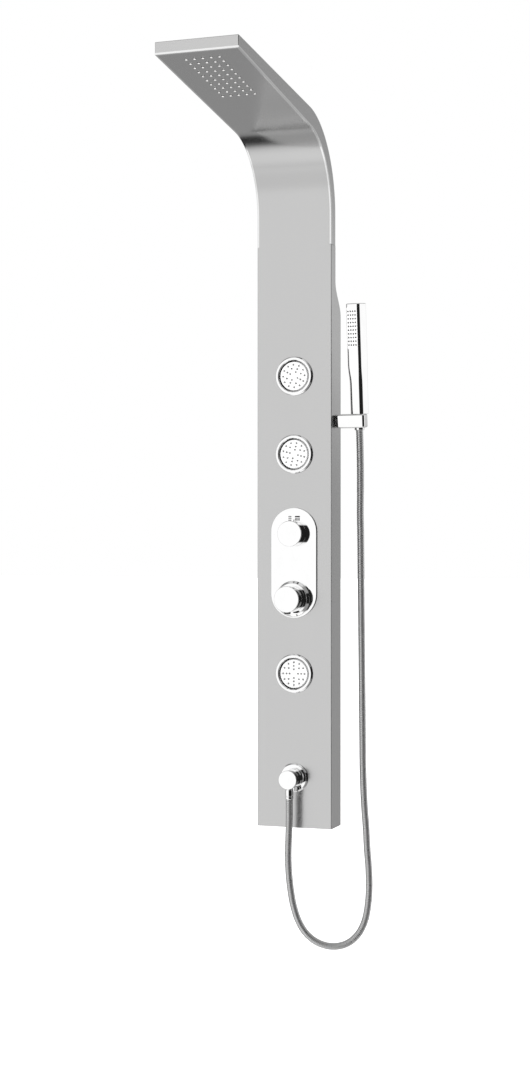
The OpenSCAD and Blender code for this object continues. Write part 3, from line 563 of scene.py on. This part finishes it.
def head_point(inset, y):
    """A point of the head's underside at that y, moved into the metal by inset."""
    p = turned(BEND_C, BEND_R + inset, BEND_ANGLE)
    return (y, p[1] + (p[0] - y) / math.tan(BEND_ANGLE))


BACK_CY = NECK_BACK_Y - BACK_R
HEAD_TOP_Z = head_point(0, HEAD_END_Y)[1] + HEAD_END_T
BACK_C = (BACK_CY, HEAD_TOP_Z - BACK_R * math.sin(BACK_ANGLE)
          - (BACK_CY + BACK_R * math.cos(BACK_ANGLE) - HEAD_END_Y) / math.tan(BACK_ANGLE))


def top_point(inset, y):
    """A point of the head's top at that y, moved into the metal by inset."""
    p = turned(BACK_C, BACK_R - inset, BACK_ANGLE)
    return (y, p[1] + (p[0] - y) / math.tan(BACK_ANGLE))


def back_y(z):
    """Back edge of the sides: at the wall below, and thinning to the neck above."""
    t = min(max((z - HOUSING_TOP_Z) / (NECK_START_Z - HOUSING_TOP_Z), 0), 1)
    return NECK_BACK_Y * (1 - math.cos(math.pi * t)) / 2


BEND_STEPS = 64
CONTROL_HOLES = {DIVERTER_Z: 0.018, TEMPERATURE_Z: 0.022, ELBOW_Z: 0.0108}


def front_sheet():
    """Outside of the folded sheet: a channel up to the seam, then a strip round the curve."""
    verts, faces, looks = [], [], []

    def add(points, polygons, look):
        start = len(verts)
        verts.extend(points)
        faces.extend([tuple(start + i for i in polygon) for polygon in polygons])
        looks.extend([look] * len(polygons))

    rows = [BOTTOM_Z + (HOUSING_TOP_Z - BOTTOM_Z) * i / 30 for i in range(31)]
    rows += [HOUSING_TOP_Z + (NECK_START_Z - HOUSING_TOP_Z) * i / 24 for i in range(1, 25)]
    rows += [NECK_START_Z + (SEAM_Z - NECK_START_Z) * i / 4 for i in range(1, 5)]
    flat = HALF_W - FOLD_R
    strip = HALF_W - TRIM_W
    # the flat face, with its holes
    outline = ([(flat, z) for z in rows] + [(strip, SEAM_Z), (-strip, SEAM_Z)]
               + [(-flat, z) for z in reversed(rows)])
    holes = [circle(0, z, 0.0345, 64) for z in JETS.values()]
    holes += [circle(0, z, r, 48) for z, r in CONTROL_HOLES.items()]
    points, polygons = filled(outline, holes)
    add([(x, FACE_Y, z) for x, z in points], polygons, 0)
    # folds and sides
    for side in (1, -1):
        n = len(rows)
        fold = [(side * (flat + FOLD_R * math.sin(a)), FACE_Y + FOLD_R * (1 - math.cos(a)))
                for a in quarter(5)]
        points = [(x, y, z) for x, y in fold for z in rows]
        add(points, [(k * n + i, k * n + i + 1, (k + 1) * n + i + 1, (k + 1) * n + i)
                     for k in range(5) for i in range(n - 1)], 0)
        points = [(side * HALF_W, FACE_Y + FOLD_R, z) for z in rows]
        points += [(side * HALF_W, back_y(z), z) for z in rows]
        add(points, [(i, i + 1, n + i + 1, n + i) for i in range(n - 1)], 1)
    # the strip: neck, curve, and the head's underside with its nozzle holes
    line = [(FACE_Y, SEAM_Z)] + [turned(BEND_C, BEND_R, BEND_ANGLE * i / BEND_STEPS)
                                 for i in range(BEND_STEPS + 1)]
    points = [(x, y, z) for y, z in line for x in (-strip, strip)]
    add(points, [(2 * i, 2 * i + 1, 2 * i + 3, 2 * i + 2) for i in range(len(line) - 1)], 0)
    length = (HEAD_START[0] - (HEAD_END_Y + TRIM_W)) / math.sin(BEND_ANGLE)
    outline = [(-strip, 0), (strip, 0), (strip, length), (-strip, length)]
    holes = [circle(x, y, 0.003, 20) for x, y in NOZZLES]
    points, polygons = filled(outline, holes)
    add([tuple(ON_HEAD @ Vector((x, y, 0))) for x, y in points], polygons, 0)
    return verts, faces, looks


HEAD_L = (HEAD_START[0] - HEAD_END_Y) / math.sin(BEND_ANGLE)
FIRST_ROW = HEAD_L - 0.030
ROWS, ROW_PITCH, COLUMNS, COLUMN_PITCH = 10, 0.0195, 5, 0.015
NOZZLES = [((i - (COLUMNS - 1) / 2) * COLUMN_PITCH, FIRST_ROW - j * ROW_PITCH)
           for i in range(COLUMNS) for j in range(ROWS)]

verts, faces, looks = front_sheet()
sheet = build("front_sheet", verts, faces, [steel_front, shaded_steel_side], looks)
finished(thickened(sheet, SHEET_T), "column", "brushed_steel", "front_panel")


# ---------------------------------------------------------------- polished edge strip
def front_line(inset, end_y, start_z):
    """From the neck round the curve and along the head, as (y, z), moved into the metal by inset."""
    curve = [turned(BEND_C, BEND_R + inset, BEND_ANGLE * i / BEND_STEPS) for i in range(BEND_STEPS + 1)]
    return [(FACE_Y + inset, start_z)] + curve + [head_point(inset, end_y)]


def edge_strip():
    """One strip: up the neck, round the curve, along the head, across its front, and back."""
    corner = softened([(0, 0), (0, TRIM_W), (TRIM_W, TRIM_W), (TRIM_W, 0)], [0.0007, 0, 0, 0], steps=4)
    sides = []
    for side in (1, -1):
        lines = [front_line(v, HEAD_END_Y + o, SEAM_Z + SEAM_GAP) for o, v in corner]
        rings = [[(side * (HALF_W - o), lines[k][i][0], lines[k][i][1])
                  for k, (o, v) in enumerate(corner)] for i in range(len(lines[0]))]
        sides.append(rings)
    return sides[0] + list(reversed(sides[1]))


finished(loft("edge_strip", edge_strip(), steel_edge), "column", "polished_steel", "edge_trim")


# ---------------------------------------------------------------- head casing
ROUND = 0.0014


def head_casing():
    """Outside of the upper casing: a rolled top edge, flat sides, and a flat front end."""
    low = front_line(TRIM_W, HEAD_END_Y, SEAM_Z + SEAM_GAP)
    high = [(NECK_BACK_Y, SEAM_Z + SEAM_GAP)]
    high += [turned(BACK_C, BACK_R, BACK_ANGLE * i / BEND_STEPS) for i in range(BEND_STEPS + 1)]
    high.append(top_point(0, HEAD_END_Y))
    angles = [BACK_ANGLE * i / BEND_STEPS for i in range(BEND_STEPS + 1)]
    normals = [(1.0, 0.0)] + [(math.cos(a), math.sin(a)) for a in angles]
    normals.append(normals[-1])
    stations = [(low[i], high[i], normals[i], 0.0) for i in range(len(low) - 1)]
    for a in quarter(5):        # the rounded front edges
        y = HEAD_END_Y + ROUND * (1 - math.sin(a))
        stations.append((head_point(TRIM_W, y), top_point(0, y), normals[-1],
                         ROUND * (1 - math.cos(a))))
    rings = []
    for p, q, n, inset in stations:
        left = ROUND - inset
        half = HALF_W - inset
        ring = [(half, p[0], p[1])]
        for a in quarter(5):
            out = left * math.sin(a) - ROUND
            ring.append((half - left + left * math.cos(a), q[0] + n[0] * out, q[1] + n[1] * out))
        rings.append(ring + [(-x, y, z) for x, y, z in reversed(ring)])
    n = len(rings[0])
    verts = [v for ring in rings for v in ring]
    faces, looks = [], []
    for i in range(len(rings) - 1):
        for k in range(n - 1):
            faces.append((i * n + k, i * n + k + 1, (i + 1) * n + k + 1, (i + 1) * n + k))
            looks.append(1 if k in (0, n - 2) else 0)
    faces.append(tuple((len(rings) - 1) * n + k for k in range(n)))
    looks.append(0)
    return verts, faces, looks


verts, faces, looks = head_casing()
casing = build("head_casing_shell", verts, faces, [steel_front, shaded_steel_side], looks)
casing = thickened(casing, CASING_T)
for vertex in casing.data.vertices:         # the thickening may lift its corners by a hair
    vertex.co.y = max(vertex.co.y, HEAD_END_Y)
finished(casing, "column", "brushed_steel", "head_casing")

back_rows = [up(970)] + [HOUSING_TOP_Z + (NECK_START_Z - HOUSING_TOP_Z) * i / 32 for i in range(33)]
back_rows.append(SEAM_Z)
inner = HALF_W - SHEET_T
neck_outline = ((inner, 0), (-inner, 0), (-inner, CASING_T), (inner, CASING_T))
finished(loft("neck_back", [[(x, back_y(z) - d, z) for x, d in neck_outline] for z in back_rows],
              steel_front), "column", "brushed_steel", "neck_back_plate")

# ---------------------------------------------------------------- rain nozzles
NOZZLE_RING = softened([(2.0, -4.5), (3.6, -4.5), (3.6, -3.5), (2.95, -3.5), (2.9, 0.3), (2.0, 0.3)],
                       [0, 0.2, 0.2, 0.1, 0.3, 0.1], steps=2)
NOZZLE_TIP = softened([(0.5, -1.5), (2.0, -1.5), (2.0, 1.0), (1.7, 1.4), (0.5, 1.4)],
                      [0, 0, 0.2, 0.2, 0.1], steps=2)


spots = [ON_HEAD @ Matrix.Translation((x, y, 0)) for x, y in NOZZLES]
finished(many("rain_nozzle_group", NOZZLE_RING, spots, rubber, 20),
         "column", "silicone", "rain_nozzles")
finished(many("rain_nozzle_tips", NOZZLE_TIP, spots, white_plastic, 16), "column", "silicone")

# ---------------------------------------------------------------- body jets
BEZEL = softened([(30.2, -5.7), (30.2, 3.2), (31.4, 4.6), (35.5, 4.6), (37.5, 2.6), (37.5, 0.8),
                  (34.2, 0.8), (34.2, -20), (31.5, -20), (31.5, -5.7)],
                 [0.2, 0.8, 0.8, 1.8, 1.6, 0.3, 0.3, 0.3, 0.3, 0.3], steps=5)
BALL_R, BALL_MID, BALL_FRONT, BALL_BACK = 29.7, -10, 2.8, -25
JET_RINGS = [(8.4, 4), (14.8, 8), (21.7, 12)]
JET_TURN = {"upper": -28, "middle": -15, "lower": 0}
JET_NOZZLE = softened([(0.45, 1.3), (1.7, 1.3), (1.7, 2.9), (1.3, 3.7), (0.45, 3.7)],
                      [0, 0, 0.2, 0.3, 0.1], steps=2)


def ball_profile():
    """Outside of the swivelling ball, open at the back, with a shallow dish in its face."""
    edge = math.sqrt(BALL_R ** 2 - (BALL_FRONT - BALL_MID) ** 2)
    back = math.sqrt(BALL_R ** 2 - (BALL_BACK - BALL_MID) ** 2)
    low, high = math.atan2(BALL_BACK - BALL_MID, back), math.atan2(BALL_FRONT - BALL_MID, edge)
    outer = [(BALL_R * math.cos(a), BALL_MID + BALL_R * math.sin(a))
             for a in [low + (high - low) * i / 16 for i in range(16)]]
    face = softened([outer[-1], (edge, BALL_FRONT), (24.6, BALL_FRONT), (24.0, 2.3), (0, 2.3)],
                    [0, 0.6, 0.3, 0.3, 0], closed=False, steps=3)
    return [(0, -1.2), (23, -1.2), (23, BALL_BACK)] + outer + face[1:]


for name, z in JETS.items():
    place = at_face(z)
    finished(lathe(f"{name}_bezel", BEZEL, chrome, place, 128), "column", "chrome", f"{name}_jet_bezel")
    turned_place = place @ Matrix.Rotation(math.radians(JET_TURN[name]), 4, "Z")
    finished(lathe(f"{name}_ball", ball_profile(), face_plastic, place, 96, closed=False),
             f"{name}_jet_turret", "face_plastic", f"{name}_jet_face")
    spots = [turned_place @ Matrix.Rotation(2 * math.pi * i / count, 4, "Z")
             @ Matrix.Translation((r * MM, 0, 0)) for r, count in JET_RINGS for i in range(count)]
    finished(many(f"{name}_ball_nozzles", JET_NOZZLE, spots, silicone, 14),
             f"{name}_jet_turret", "silicone")


# ---------------------------------------------------------------- controls
def obround(width, length, n=24):
    """An outline with two straight sides and round ends."""
    r, straight = width / 2, (length - width) / 2
    return [(r * math.cos(a), side * straight + r * math.sin(a))
            for side, start in ((1, 0), (-1, math.pi))
            for a in [start + math.pi * i / n for i in range(n + 1)]]


def control_plate():
    """A polished plate with softened front edges."""
    low, high, bevel, width, length = 0.8 * MM, 3.3 * MM, 0.9 * MM, 0.092, 0.212
    rings = [[(x, y, low) for x, y in obround(width, length)]]
    for a in quarter(5):
        shrink = 2 * bevel * (1 - math.cos(a))
        rings.append([(x, y, high - bevel * (1 - math.sin(a)))
                      for x, y in obround(width - shrink, length - shrink)])
    return loft("control_plate_polished", rings, chrome, place=at_face(PLATE_Z))


finished(control_plate(), "column", "chrome", "control_plate")


KNOB_WALL, SPINDLE_R, BOSS_RISE = 4, 5, 6


def knob(name, r, low, high, front_t, boss_r, place):
    """A hollow knob: a softened front edge, and a shallow dish in its front."""
    profile = softened([
        (SPINDLE_R, low + BOSS_RISE), (boss_r, low + BOSS_RISE), (boss_r, high - front_t),
        (r - KNOB_WALL, high - front_t), (r - KNOB_WALL, low), (r, low), (r, high), (r - 2.4, high),
        (0, high - 0.15)], [0, 0.3, 0.3, 0.5, 0.4, 0.5, 1.3, 0.2, 0], closed=False, steps=5)
    return lathe(name, profile, chrome_knob, place, 128, closed=False)


finished(knob("diverter_handle", r=24.5, low=4.0, high=30, front_t=6, boss_r=8,
              place=at_face(DIVERTER_Z)), "diverter_knob", "chrome", "diverter_knob")
finished(knob("temperature_handle", r=25, low=14.7, high=48, front_t=2.5, boss_r=9,
              place=at_face(TEMPERATURE_Z)), "temperature_knob", "chrome", "temperature_knob")
PLATE_FRONT, COLLAR_R, COLLAR_BORE_R, COLLAR_TOP = 3.3, 34.5, 20.4, 14
finished(lathe("temperature_ring", softened([
    (COLLAR_BORE_R, PLATE_FRONT), (COLLAR_R, PLATE_FRONT), (COLLAR_R, 9.5), (30, COLLAR_TOP),
    (COLLAR_BORE_R, COLLAR_TOP)], [0.2, 0.2, 2.5, 2.0, 0.3], steps=6),
    chrome, at_face(TEMPERATURE_Z), 128), "column", "chrome", "temperature_collar")


def box_piece(name, corner, size, soft, look, place):
    """A block with softened edges, from its low corner."""
    (x, y, z), (w, d, h) = corner, size
    levels = [(z + soft * (1 - math.cos(a)), soft * (1 - math.sin(a))) for a in quarter(4)]
    levels += [(2 * z + h - level, shrink) for level, shrink in reversed(levels)]
    rings = []
    for level, shrink in levels:
        outline = softened([(x + shrink, y + shrink), (x + w - shrink, y + shrink),
                            (x + w - shrink, y + d - shrink), (x + shrink, y + d - shrink)],
                           max(soft * 1.6 - shrink, soft * 0.4), steps=4)
        rings.append([(px, py, level) for px, py in outline])
    return loft(name, rings, look, place=place)


STOP_W, STOP_FOOT_Y = 11 * MM, -28 * MM         # width, and lower end in the knob's own frame
STOP_H, STOP_LOW, STOP_DEEP = 9.6 * MM, 37 * MM, 8 * MM
finished(box_piece("stop_button", (-STOP_W / 2, STOP_FOOT_Y, STOP_LOW), (STOP_W, STOP_H, STOP_DEEP),
                   0.8 * MM, black_plastic, at_face(TEMPERATURE_Z)),
         "safety_button", "black_plastic", "safety_button")

COIL_R, COIL_WIRE_R, COIL_OUT = 2.2 * MM, 0.35 * MM, 40.5 * MM
COIL_TOP, COIL_FOOT = TEMPERATURE_Z - 9.6 * MM, TEMPERATURE_Z - 17.9 * MM


def button_spring():
    """The coil that pushes the stop button out."""
    coils, around = 5, 20
    points = []
    for i in range(coils * around + 1):
        a = 2 * math.pi * i / around
        points.append(Vector((COIL_R * math.cos(a), FACE_Y - COIL_OUT + COIL_R * math.sin(a),
                              COIL_TOP + (COIL_FOOT - COIL_TOP) * i / (coils * around))))
    made = swept("stop_button_spring", points, [COIL_WIRE_R] * len(points), zinc, 8)
    weighted(made)
    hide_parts("button_spring")
    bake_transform(made)


button_spring()


def marks():
    """Small generic marks over the diverter: six drops, a little spray head and its jets."""
    shapes = [circle(x, z, 0.0013, 12) for x in (-0.0092, -0.0058) for z in (0.0260, 0.0295, 0.0330)]
    boxes = [(-0.0006, 0.0250, 0.0016, 0.0272), (0.0026, 0.0314, 0.0126, 0.0342)]
    boxes += [(0.0030 + 0.0025 * i, 0.0250, 0.0046 + 0.0025 * i, 0.0303) for i in range(4)]
    shapes += [[(x0, z0), (x1, z0), (x1, z1), (x0, z1)] for x0, z0, x1, z1 in boxes]
    verts, faces = [], []
    for shape in shapes:
        n, start = len(shape), len(verts)
        for level in (3.25 * MM, 3.42 * MM):
            verts += [(x, y, level) for x, y in shape]
        faces += [tuple(start + i for i in reversed(range(n))), tuple(start + n + i for i in range(n))]
        faces += [(start + i, start + (i + 1) % n, start + n + (i + 1) % n, start + n + i)
                  for i in range(n)]
    return build("diverter_marks", verts, faces, [mark_ink], place=at_face(DIVERTER_Z))


finished(marks(), "column", "black_plastic")

# ---------------------------------------------------------------- elbow outlet
finished(lathe("elbow_rosette", softened([(10.5, 0), (28, 0), (28, 2.2), (25.6, 5), (10.5, 5)],
                                         [0.1, 0.2, 0.7, 1.2, 0.3], steps=5),
               chrome, at_face(ELBOW_Z), 128), "column", "chrome", "elbow_flange")
finished(lathe("elbow_outlet", softened([
    (0, -24), (10.4, -24), (10.4, 5), (18, 5), (18, 8.6), (16.6, 10.2), (16.6, 12.2), (18, 13.8),
    (18, 41), (16.2, 41), (0, 40.8)],
    [0, 0.5, 0.3, 0.3, 0.5, 0.6, 0.6, 0.5, 1.4, 0.2, 0], closed=False, steps=5),
    chrome, at_face(ELBOW_Z), 128, closed=False), "column", "chrome", "elbow_body")


# ---------------------------------------------------------------- holder bar
BAR_INNER_X, BAR_OUTER_X = 76 * MM, 134 * MM
BAR_CORNERS = (5, 5, 14, 8)     # mm: inner front, outer front, outer back, inner back


def holder_bar():
    """A pill-shaped bar, tall as the cone nut, with softened edges and a conical hole."""
    half_l, half_d, half_h, soft = (BAR_OUTER_X - BAR_INNER_X) / 2, 17 * MM, 13 * MM, 3.2 * MM
    middle = (BAR_INNER_X + BAR_OUTER_X) / 2 - NUT_END.x
    hole_low, hole_high, count = 9.8 * MM, 12.6 * MM, 48

    def outline(shrink):
        x, y = half_l - shrink, half_d - shrink
        return softened([(middle - x, -y), (middle + x, -y), (middle + x, y), (middle - x, y)],
                        [max(r * MM - shrink, 0.001) for r in BAR_CORNERS], steps=10)

    lower = [[(x, y, -half_h + soft * (1 - math.sin(a))) for x, y in outline(soft * (1 - math.cos(a)))]
             for a in reversed(quarter(6))]
    rings = lower + [[(x, y, -z) for x, y, z in ring] for ring in reversed(lower)]
    verts = [v for ring in rings for v in ring]
    faces = ring_faces(len(rings), len(rings[0]))
    for level, r, ring in ((-half_h, hole_low, rings[0]), (half_h, hole_high, rings[-1])):
        points, polygons = filled([(x, y) for x, y, _ in ring], [circle(0, 0, r, count)])
        start = len(verts)
        verts += [(x, y, level) for x, y in points]
        faces += [tuple(start + i for i in polygon) for polygon in polygons]
    start = len(verts)
    verts += [(x, y, -half_h) for x, y in circle(0, 0, hole_low, count)]
    verts += [(x, y, half_h) for x, y in circle(0, 0, hole_high, count)]
    faces += [(start + i, start + (i + 1) % count, start + count + (i + 1) % count, start + count + i)
              for i in range(count)]
    return build("holder_block", verts, faces, [chrome], place=AT_HOLDER)


finished(holder_bar(), "holder", "chrome", "holder_bar")


# ---------------------------------------------------------------- hand shower
GRIP_START, HANDSET_TOP = 13.2, 224.0
STEP_LOW, STEP_HIGH = 70.0, 108.0
HANDLE_W, HANDLE_D, HEAD_W, HEAD_D = 29.0, 26.0, 31.0, 28.0
SPRAY_ROWS, SPRAY_COLS, PITCH_Z, PITCH_X = 10, 4, 7.1, 5.4
SPRAY_TOP = HANDSET_TOP - 15
SPRAY_LOW = SPRAY_TOP - (SPRAY_ROWS - 1) * PITCH_Z
HEAD_FRONT = -(HEAD_D - HANDLE_D / 2)


def handset_ring(level, shrink=0.0):
    """The hand shower's outline at one level, in mm: flat faces with rounded corners."""
    t = min(max((level - STEP_LOW) / (STEP_HIGH - STEP_LOW), 0), 1)
    s = (1 - math.cos(math.pi * t)) / 2
    half = (HANDLE_W + (HEAD_W - HANDLE_W) * s) / 2 - shrink
    front = -HANDLE_D / 2 + (HEAD_FRONT + HANDLE_D / 2) * s + shrink
    back = HANDLE_D / 2 - shrink
    round_front, round_back = max(9.0 - 2.0 * s - shrink, 1.0), max(2.4 - shrink, 0.6)
    loop = softened([(-half, front), (half, front), (half, back), (-half, back)],
                    [round_front, round_front, round_back, round_back], steps=8)
    return [(x * MM, y * MM, level * MM) for x, y in loop]


def handset_levels():
    """Height and shrinkage of each ring, close together where the outline changes."""
    foot_soft, top_soft = 0.8, 2.2
    levels = [(GRIP_START + foot_soft * (1 - math.cos(a)), foot_soft * (1 - math.sin(a)))
              for a in quarter(5)]
    levels += [(20 + 10 * i, 0) for i in range(5)]
    levels += [(STEP_LOW + (STEP_HIGH - STEP_LOW) * i / 28, 0) for i in range(29)]
    levels += [(115 + 10 * i, 0) for i in range(11)]
    levels += [(HANDSET_TOP - top_soft + top_soft * math.sin(a), top_soft * (1 - math.cos(a)))
               for a in quarter(6)]
    return sorted(levels)


finished(loft("handset_shell", [handset_ring(level, shrink) for level, shrink in handset_levels()],
              chrome, place=AT_HANDSET), "handset", "chrome", "handset_body")

spray_half, spray_bottom, spray_end = 11.4, SPRAY_LOW - 7.8, SPRAY_TOP + 7.8


def spray_plate():
    """A thin plate on the front of the spray head, with softened corners and edges."""
    rings = []
    for out, shrink in ((-1.4, 0.0), (-0.05, 0.0), (0.1, 0.08), (0.2, 0.3)):
        x = spray_half - shrink
        low, high = spray_bottom + shrink, spray_end - shrink
        loop = softened([(-x, low), (x, low), (x, high), (-x, high)], 2.6, steps=6)
        rings.append([(px * MM, (HEAD_FRONT - out) * MM, pz * MM) for px, pz in loop])
    return loft("handset_plate", rings, face_plastic, place=AT_HANDSET)


finished(spray_plate(), "handset", "face_plastic", "handset_spray_plate")
facing = Matrix.Rotation(math.pi / 2, 4, "X")
spots = [AT_HANDSET @ Matrix.Translation(((i - 1.5) * PITCH_X * MM, HEAD_FRONT * MM,
                                          (SPRAY_LOW + j * PITCH_Z) * MM)) @ facing
         for i in range(SPRAY_COLS) for j in range(SPRAY_ROWS)]
SPRAY_NOZZLE = softened([(0.4, -1), (1.8, -1), (1.8, 0.3), (1.4, 0.6), (0.4, 0.6)],
                        [0, 0, 0.2, 0.2, 0.05], steps=2)
finished(many("handset_nozzle_group", SPRAY_NOZZLE, spots, dark_silicone, 14),
         "handset", "silicone", "handset_nozzles")


# ---------------------------------------------------------------- water hoses inside the housing
def hose_piece(name, node, points, radius):
    """A braided hose along points in mm."""
    path, _ = smooth_path([Vector(p) * MM for p in points], 0.006)
    made = swept(name, path, [radius * MM] * len(path), braid, 18,
                 Vector(points[1]) - Vector(points[0]), Vector(points[-1]) - Vector(points[-2]))
    finished(made, "column", "hose_rubber", node)


def mm_up(h):
    """The same as up(), in mm."""
    return h - HIGH


rain_start = 565 + 28
side_run = [[x, y, mm_up(h)] for x, y, h in (
    (55, -40, rain_start), (55, -41, 640), (55, -45, 700), (55, -46, 780), (55, -46, 860),
    (55, -46, 930), (50, -46, 970), (38, -46, 1005), (22, -46, 1040), (9, -46, 1075),
    (2, -46, 1110), (0, -46, 1145))]
bend_run = []
for i in range(15):
    y, z = turned(BEND_C, BEND_R + 0.014, BEND_ANGLE * i / 14)
    bend_run.append([0, y / MM, z / MM])
chamber_mid = 1.5 + 12 / 2 + 1
rain_end = (FIRST_ROW - (ROWS - 1) * ROW_PITCH) / MM - 14 - 12
head_run = [list((ON_HEAD @ Vector((0, along * MM, -inset * MM))) / MM) for along, inset in
            ((40, 13), (80, 11), (120, 9.5), (rain_end - 15, chamber_mid), (rain_end, chamber_mid))]
hose_piece("rain_hose", "rain_supply_hose", side_run + bend_run + head_run, 5.9)
hose_piece("elbow_hose", "elbow_supply_hose", [[x, y, mm_up(h)] for x, y, h in (
    (0, -28, 126), (-3, -29, 143), (-12, -35, 162), (-28, -44, 182), (-46, -50, 203),
    (-60, -50, 228), (-66, -50, 260), (-66, -50, 340), (-66, -50, 420), (-66, -49, 470),
    (-64, -44, 505), (-62, -40, 541))], 4.9)

# ---------------------------------------------------------------- the CAD nodes that stay
slots = {}
for row in frame["record"]["subparts"]:
    slots[row["node"]] = row["material_slot"]
for node, shown in frame["nodes"].items():
    shown.data.materials.clear()
    shown.data.materials.append(NODE_LOOKS[slots.get(node, "white_plastic")])


# ---------------------------------------------------------------- studio
def window(add, value, low, high, soft):
    """1 between low and high, falling smoothly to 0 over soft on both sides."""
    rise = add("ShaderNodeMapRange", {"Value": value, "From Min": low - soft, "From Max": low + soft},
               interpolation_type="SMOOTHSTEP")
    fall = add("ShaderNodeMapRange", {"Value": value, "From Min": high - soft, "From Max": high + soft,
                                      "To Min": 1.0, "To Max": 0.0}, interpolation_type="SMOOTHSTEP")
    both = add("ShaderNodeMath", {0: rise.outputs["Result"], 1: fall.outputs["Result"]},
               operation="MULTIPLY")
    return both.outputs[0]


# What the metal mirrors: a base brightness, and windows of other brightness laid over it in turn.
# Azimuth from, to; elevation from, to; softness; brightness. Azimuth 0 is in front, 90 on the right.
BASE_LEVEL = 0.30
SURROUNDINGS = [
    (-181, 181, -91, -62, 8, 1.20),
    (-181, 181, 58, 91, 8, 0.75),
    (-80, 2, -62, 32, 6, 1.13),
    (-80, 2, -56, -30, 8, 0.98),
    (100, 255, -38, 60, 8, 0.42),
    (-255, -105, -38, 60, 8, 0.42),
    (100, 255, -12, 60, 5, 0.50),
    (-255, -105, -12, 60, 5, 0.50),
    (140, 220, 4, 10, 2.5, 0.80),
    (100, 138, -30, 30, 5, 1.10),
    (-255, -105, -64, -42, 4, 0.03),
    (2, 100, -22, 24, 3, 0.015),
]


def studio_world():
    """White to the camera; to everything else the surroundings above."""
    world = bpy.data.worlds.new("studio")
    bpy.context.scene.world = world
    world.use_nodes = True
    tree = world.node_tree
    add = node_adder(tree)
    place = add("ShaderNodeTexCoord")
    parts = add("ShaderNodeSeparateXYZ", {"Vector": place.outputs["Generated"]})
    front = add("ShaderNodeMath", {0: parts.outputs["Y"], 1: -1.0}, operation="MULTIPLY")
    turn = add("ShaderNodeMath", {0: parts.outputs["X"], 1: front.outputs[0]}, operation="ARCTAN2")
    azimuth = add("ShaderNodeMath", {0: turn.outputs[0], 1: 180 / math.pi}, operation="MULTIPLY")
    rise = add("ShaderNodeMath", {0: parts.outputs["Z"]}, operation="ARCSINE")
    elevation = add("ShaderNodeMath", {0: rise.outputs[0], 1: 180 / math.pi}, operation="MULTIPLY")
    base = add("ShaderNodeValue")
    base.outputs[0].default_value = BASE_LEVEL
    level = base.outputs[0]
    for az0, az1, el0, el1, soft, value in SURROUNDINGS:
        mask = add("ShaderNodeMath", {0: window(add, azimuth.outputs[0], az0, az1, soft),
                                      1: window(add, elevation.outputs[0], el0, el1, soft)},
                   operation="MULTIPLY")
        mixed = add("ShaderNodeMix", {0: mask.outputs[0], 2: level, 3: value}, data_type="FLOAT")
        level = mixed.outputs[0]
    path = add("ShaderNodeLightPath")
    seen = add("ShaderNodeMix", {0: path.outputs["Is Camera Ray"], 2: level, 3: 1.0}, data_type="FLOAT")
    background = tree.nodes["Background"]
    tree.links.new(seen.outputs[0], background.inputs["Strength"])
    background.inputs["Color"].default_value = (1, 1, 1, 1)


studio_world()


def soft_light(name, place, target, size, power):
    data = bpy.data.lights.new(name, "AREA")
    data.shape = "RECTANGLE"
    data.size, data.size_y = size
    data.energy = power
    light = bpy.data.objects.new(name, data)
    light.location = place
    light.rotation_euler = (Vector(target) - Vector(place)).to_track_quat("-Z", "Y").to_euler()
    light.visible_glossy = False
    light.visible_camera = False
    bpy.context.scene.collection.objects.link(light)


soft_light("key", (-1.8, -2.6, 1.6), (0, 0, -0.3), (1.6, 2.2), 45)
soft_light("fill", (2.2, -1.8, 0.6), (0, 0, -0.3), (1.4, 2.0), 15)

floor_mesh = bpy.data.meshes.new("floor")
floor_mesh.from_pydata([(-40, -40, -1.30), (40, -40, -1.30), (40, 40, -1.30), (-40, 40, -1.30)], [],
                       [(0, 1, 2, 3)])
floor = bpy.data.objects.new("floor", floor_mesh)
bpy.context.scene.collection.objects.link(floor)
floor_look, floor_shader, add, wire = new_material("pale_floor")
grain = stretched_noise(add, (3, 3, 3), 2.0)
wire(two_tone(add, grain.outputs["Fac"], grey(0.86), grey(0.90)), "Base Color")
floor_shader.inputs["Roughness"].default_value = 0.8
floor_shader.inputs["Emission Color"].default_value = (1, 1, 1, 1)
floor_shader.inputs["Emission Strength"].default_value = 1.0
floor_mesh.materials.append(floor_look)
floor.visible_glossy = False

bpy.context.scene.view_settings.view_transform = "Standard"

bpy.context.view_layer.update()
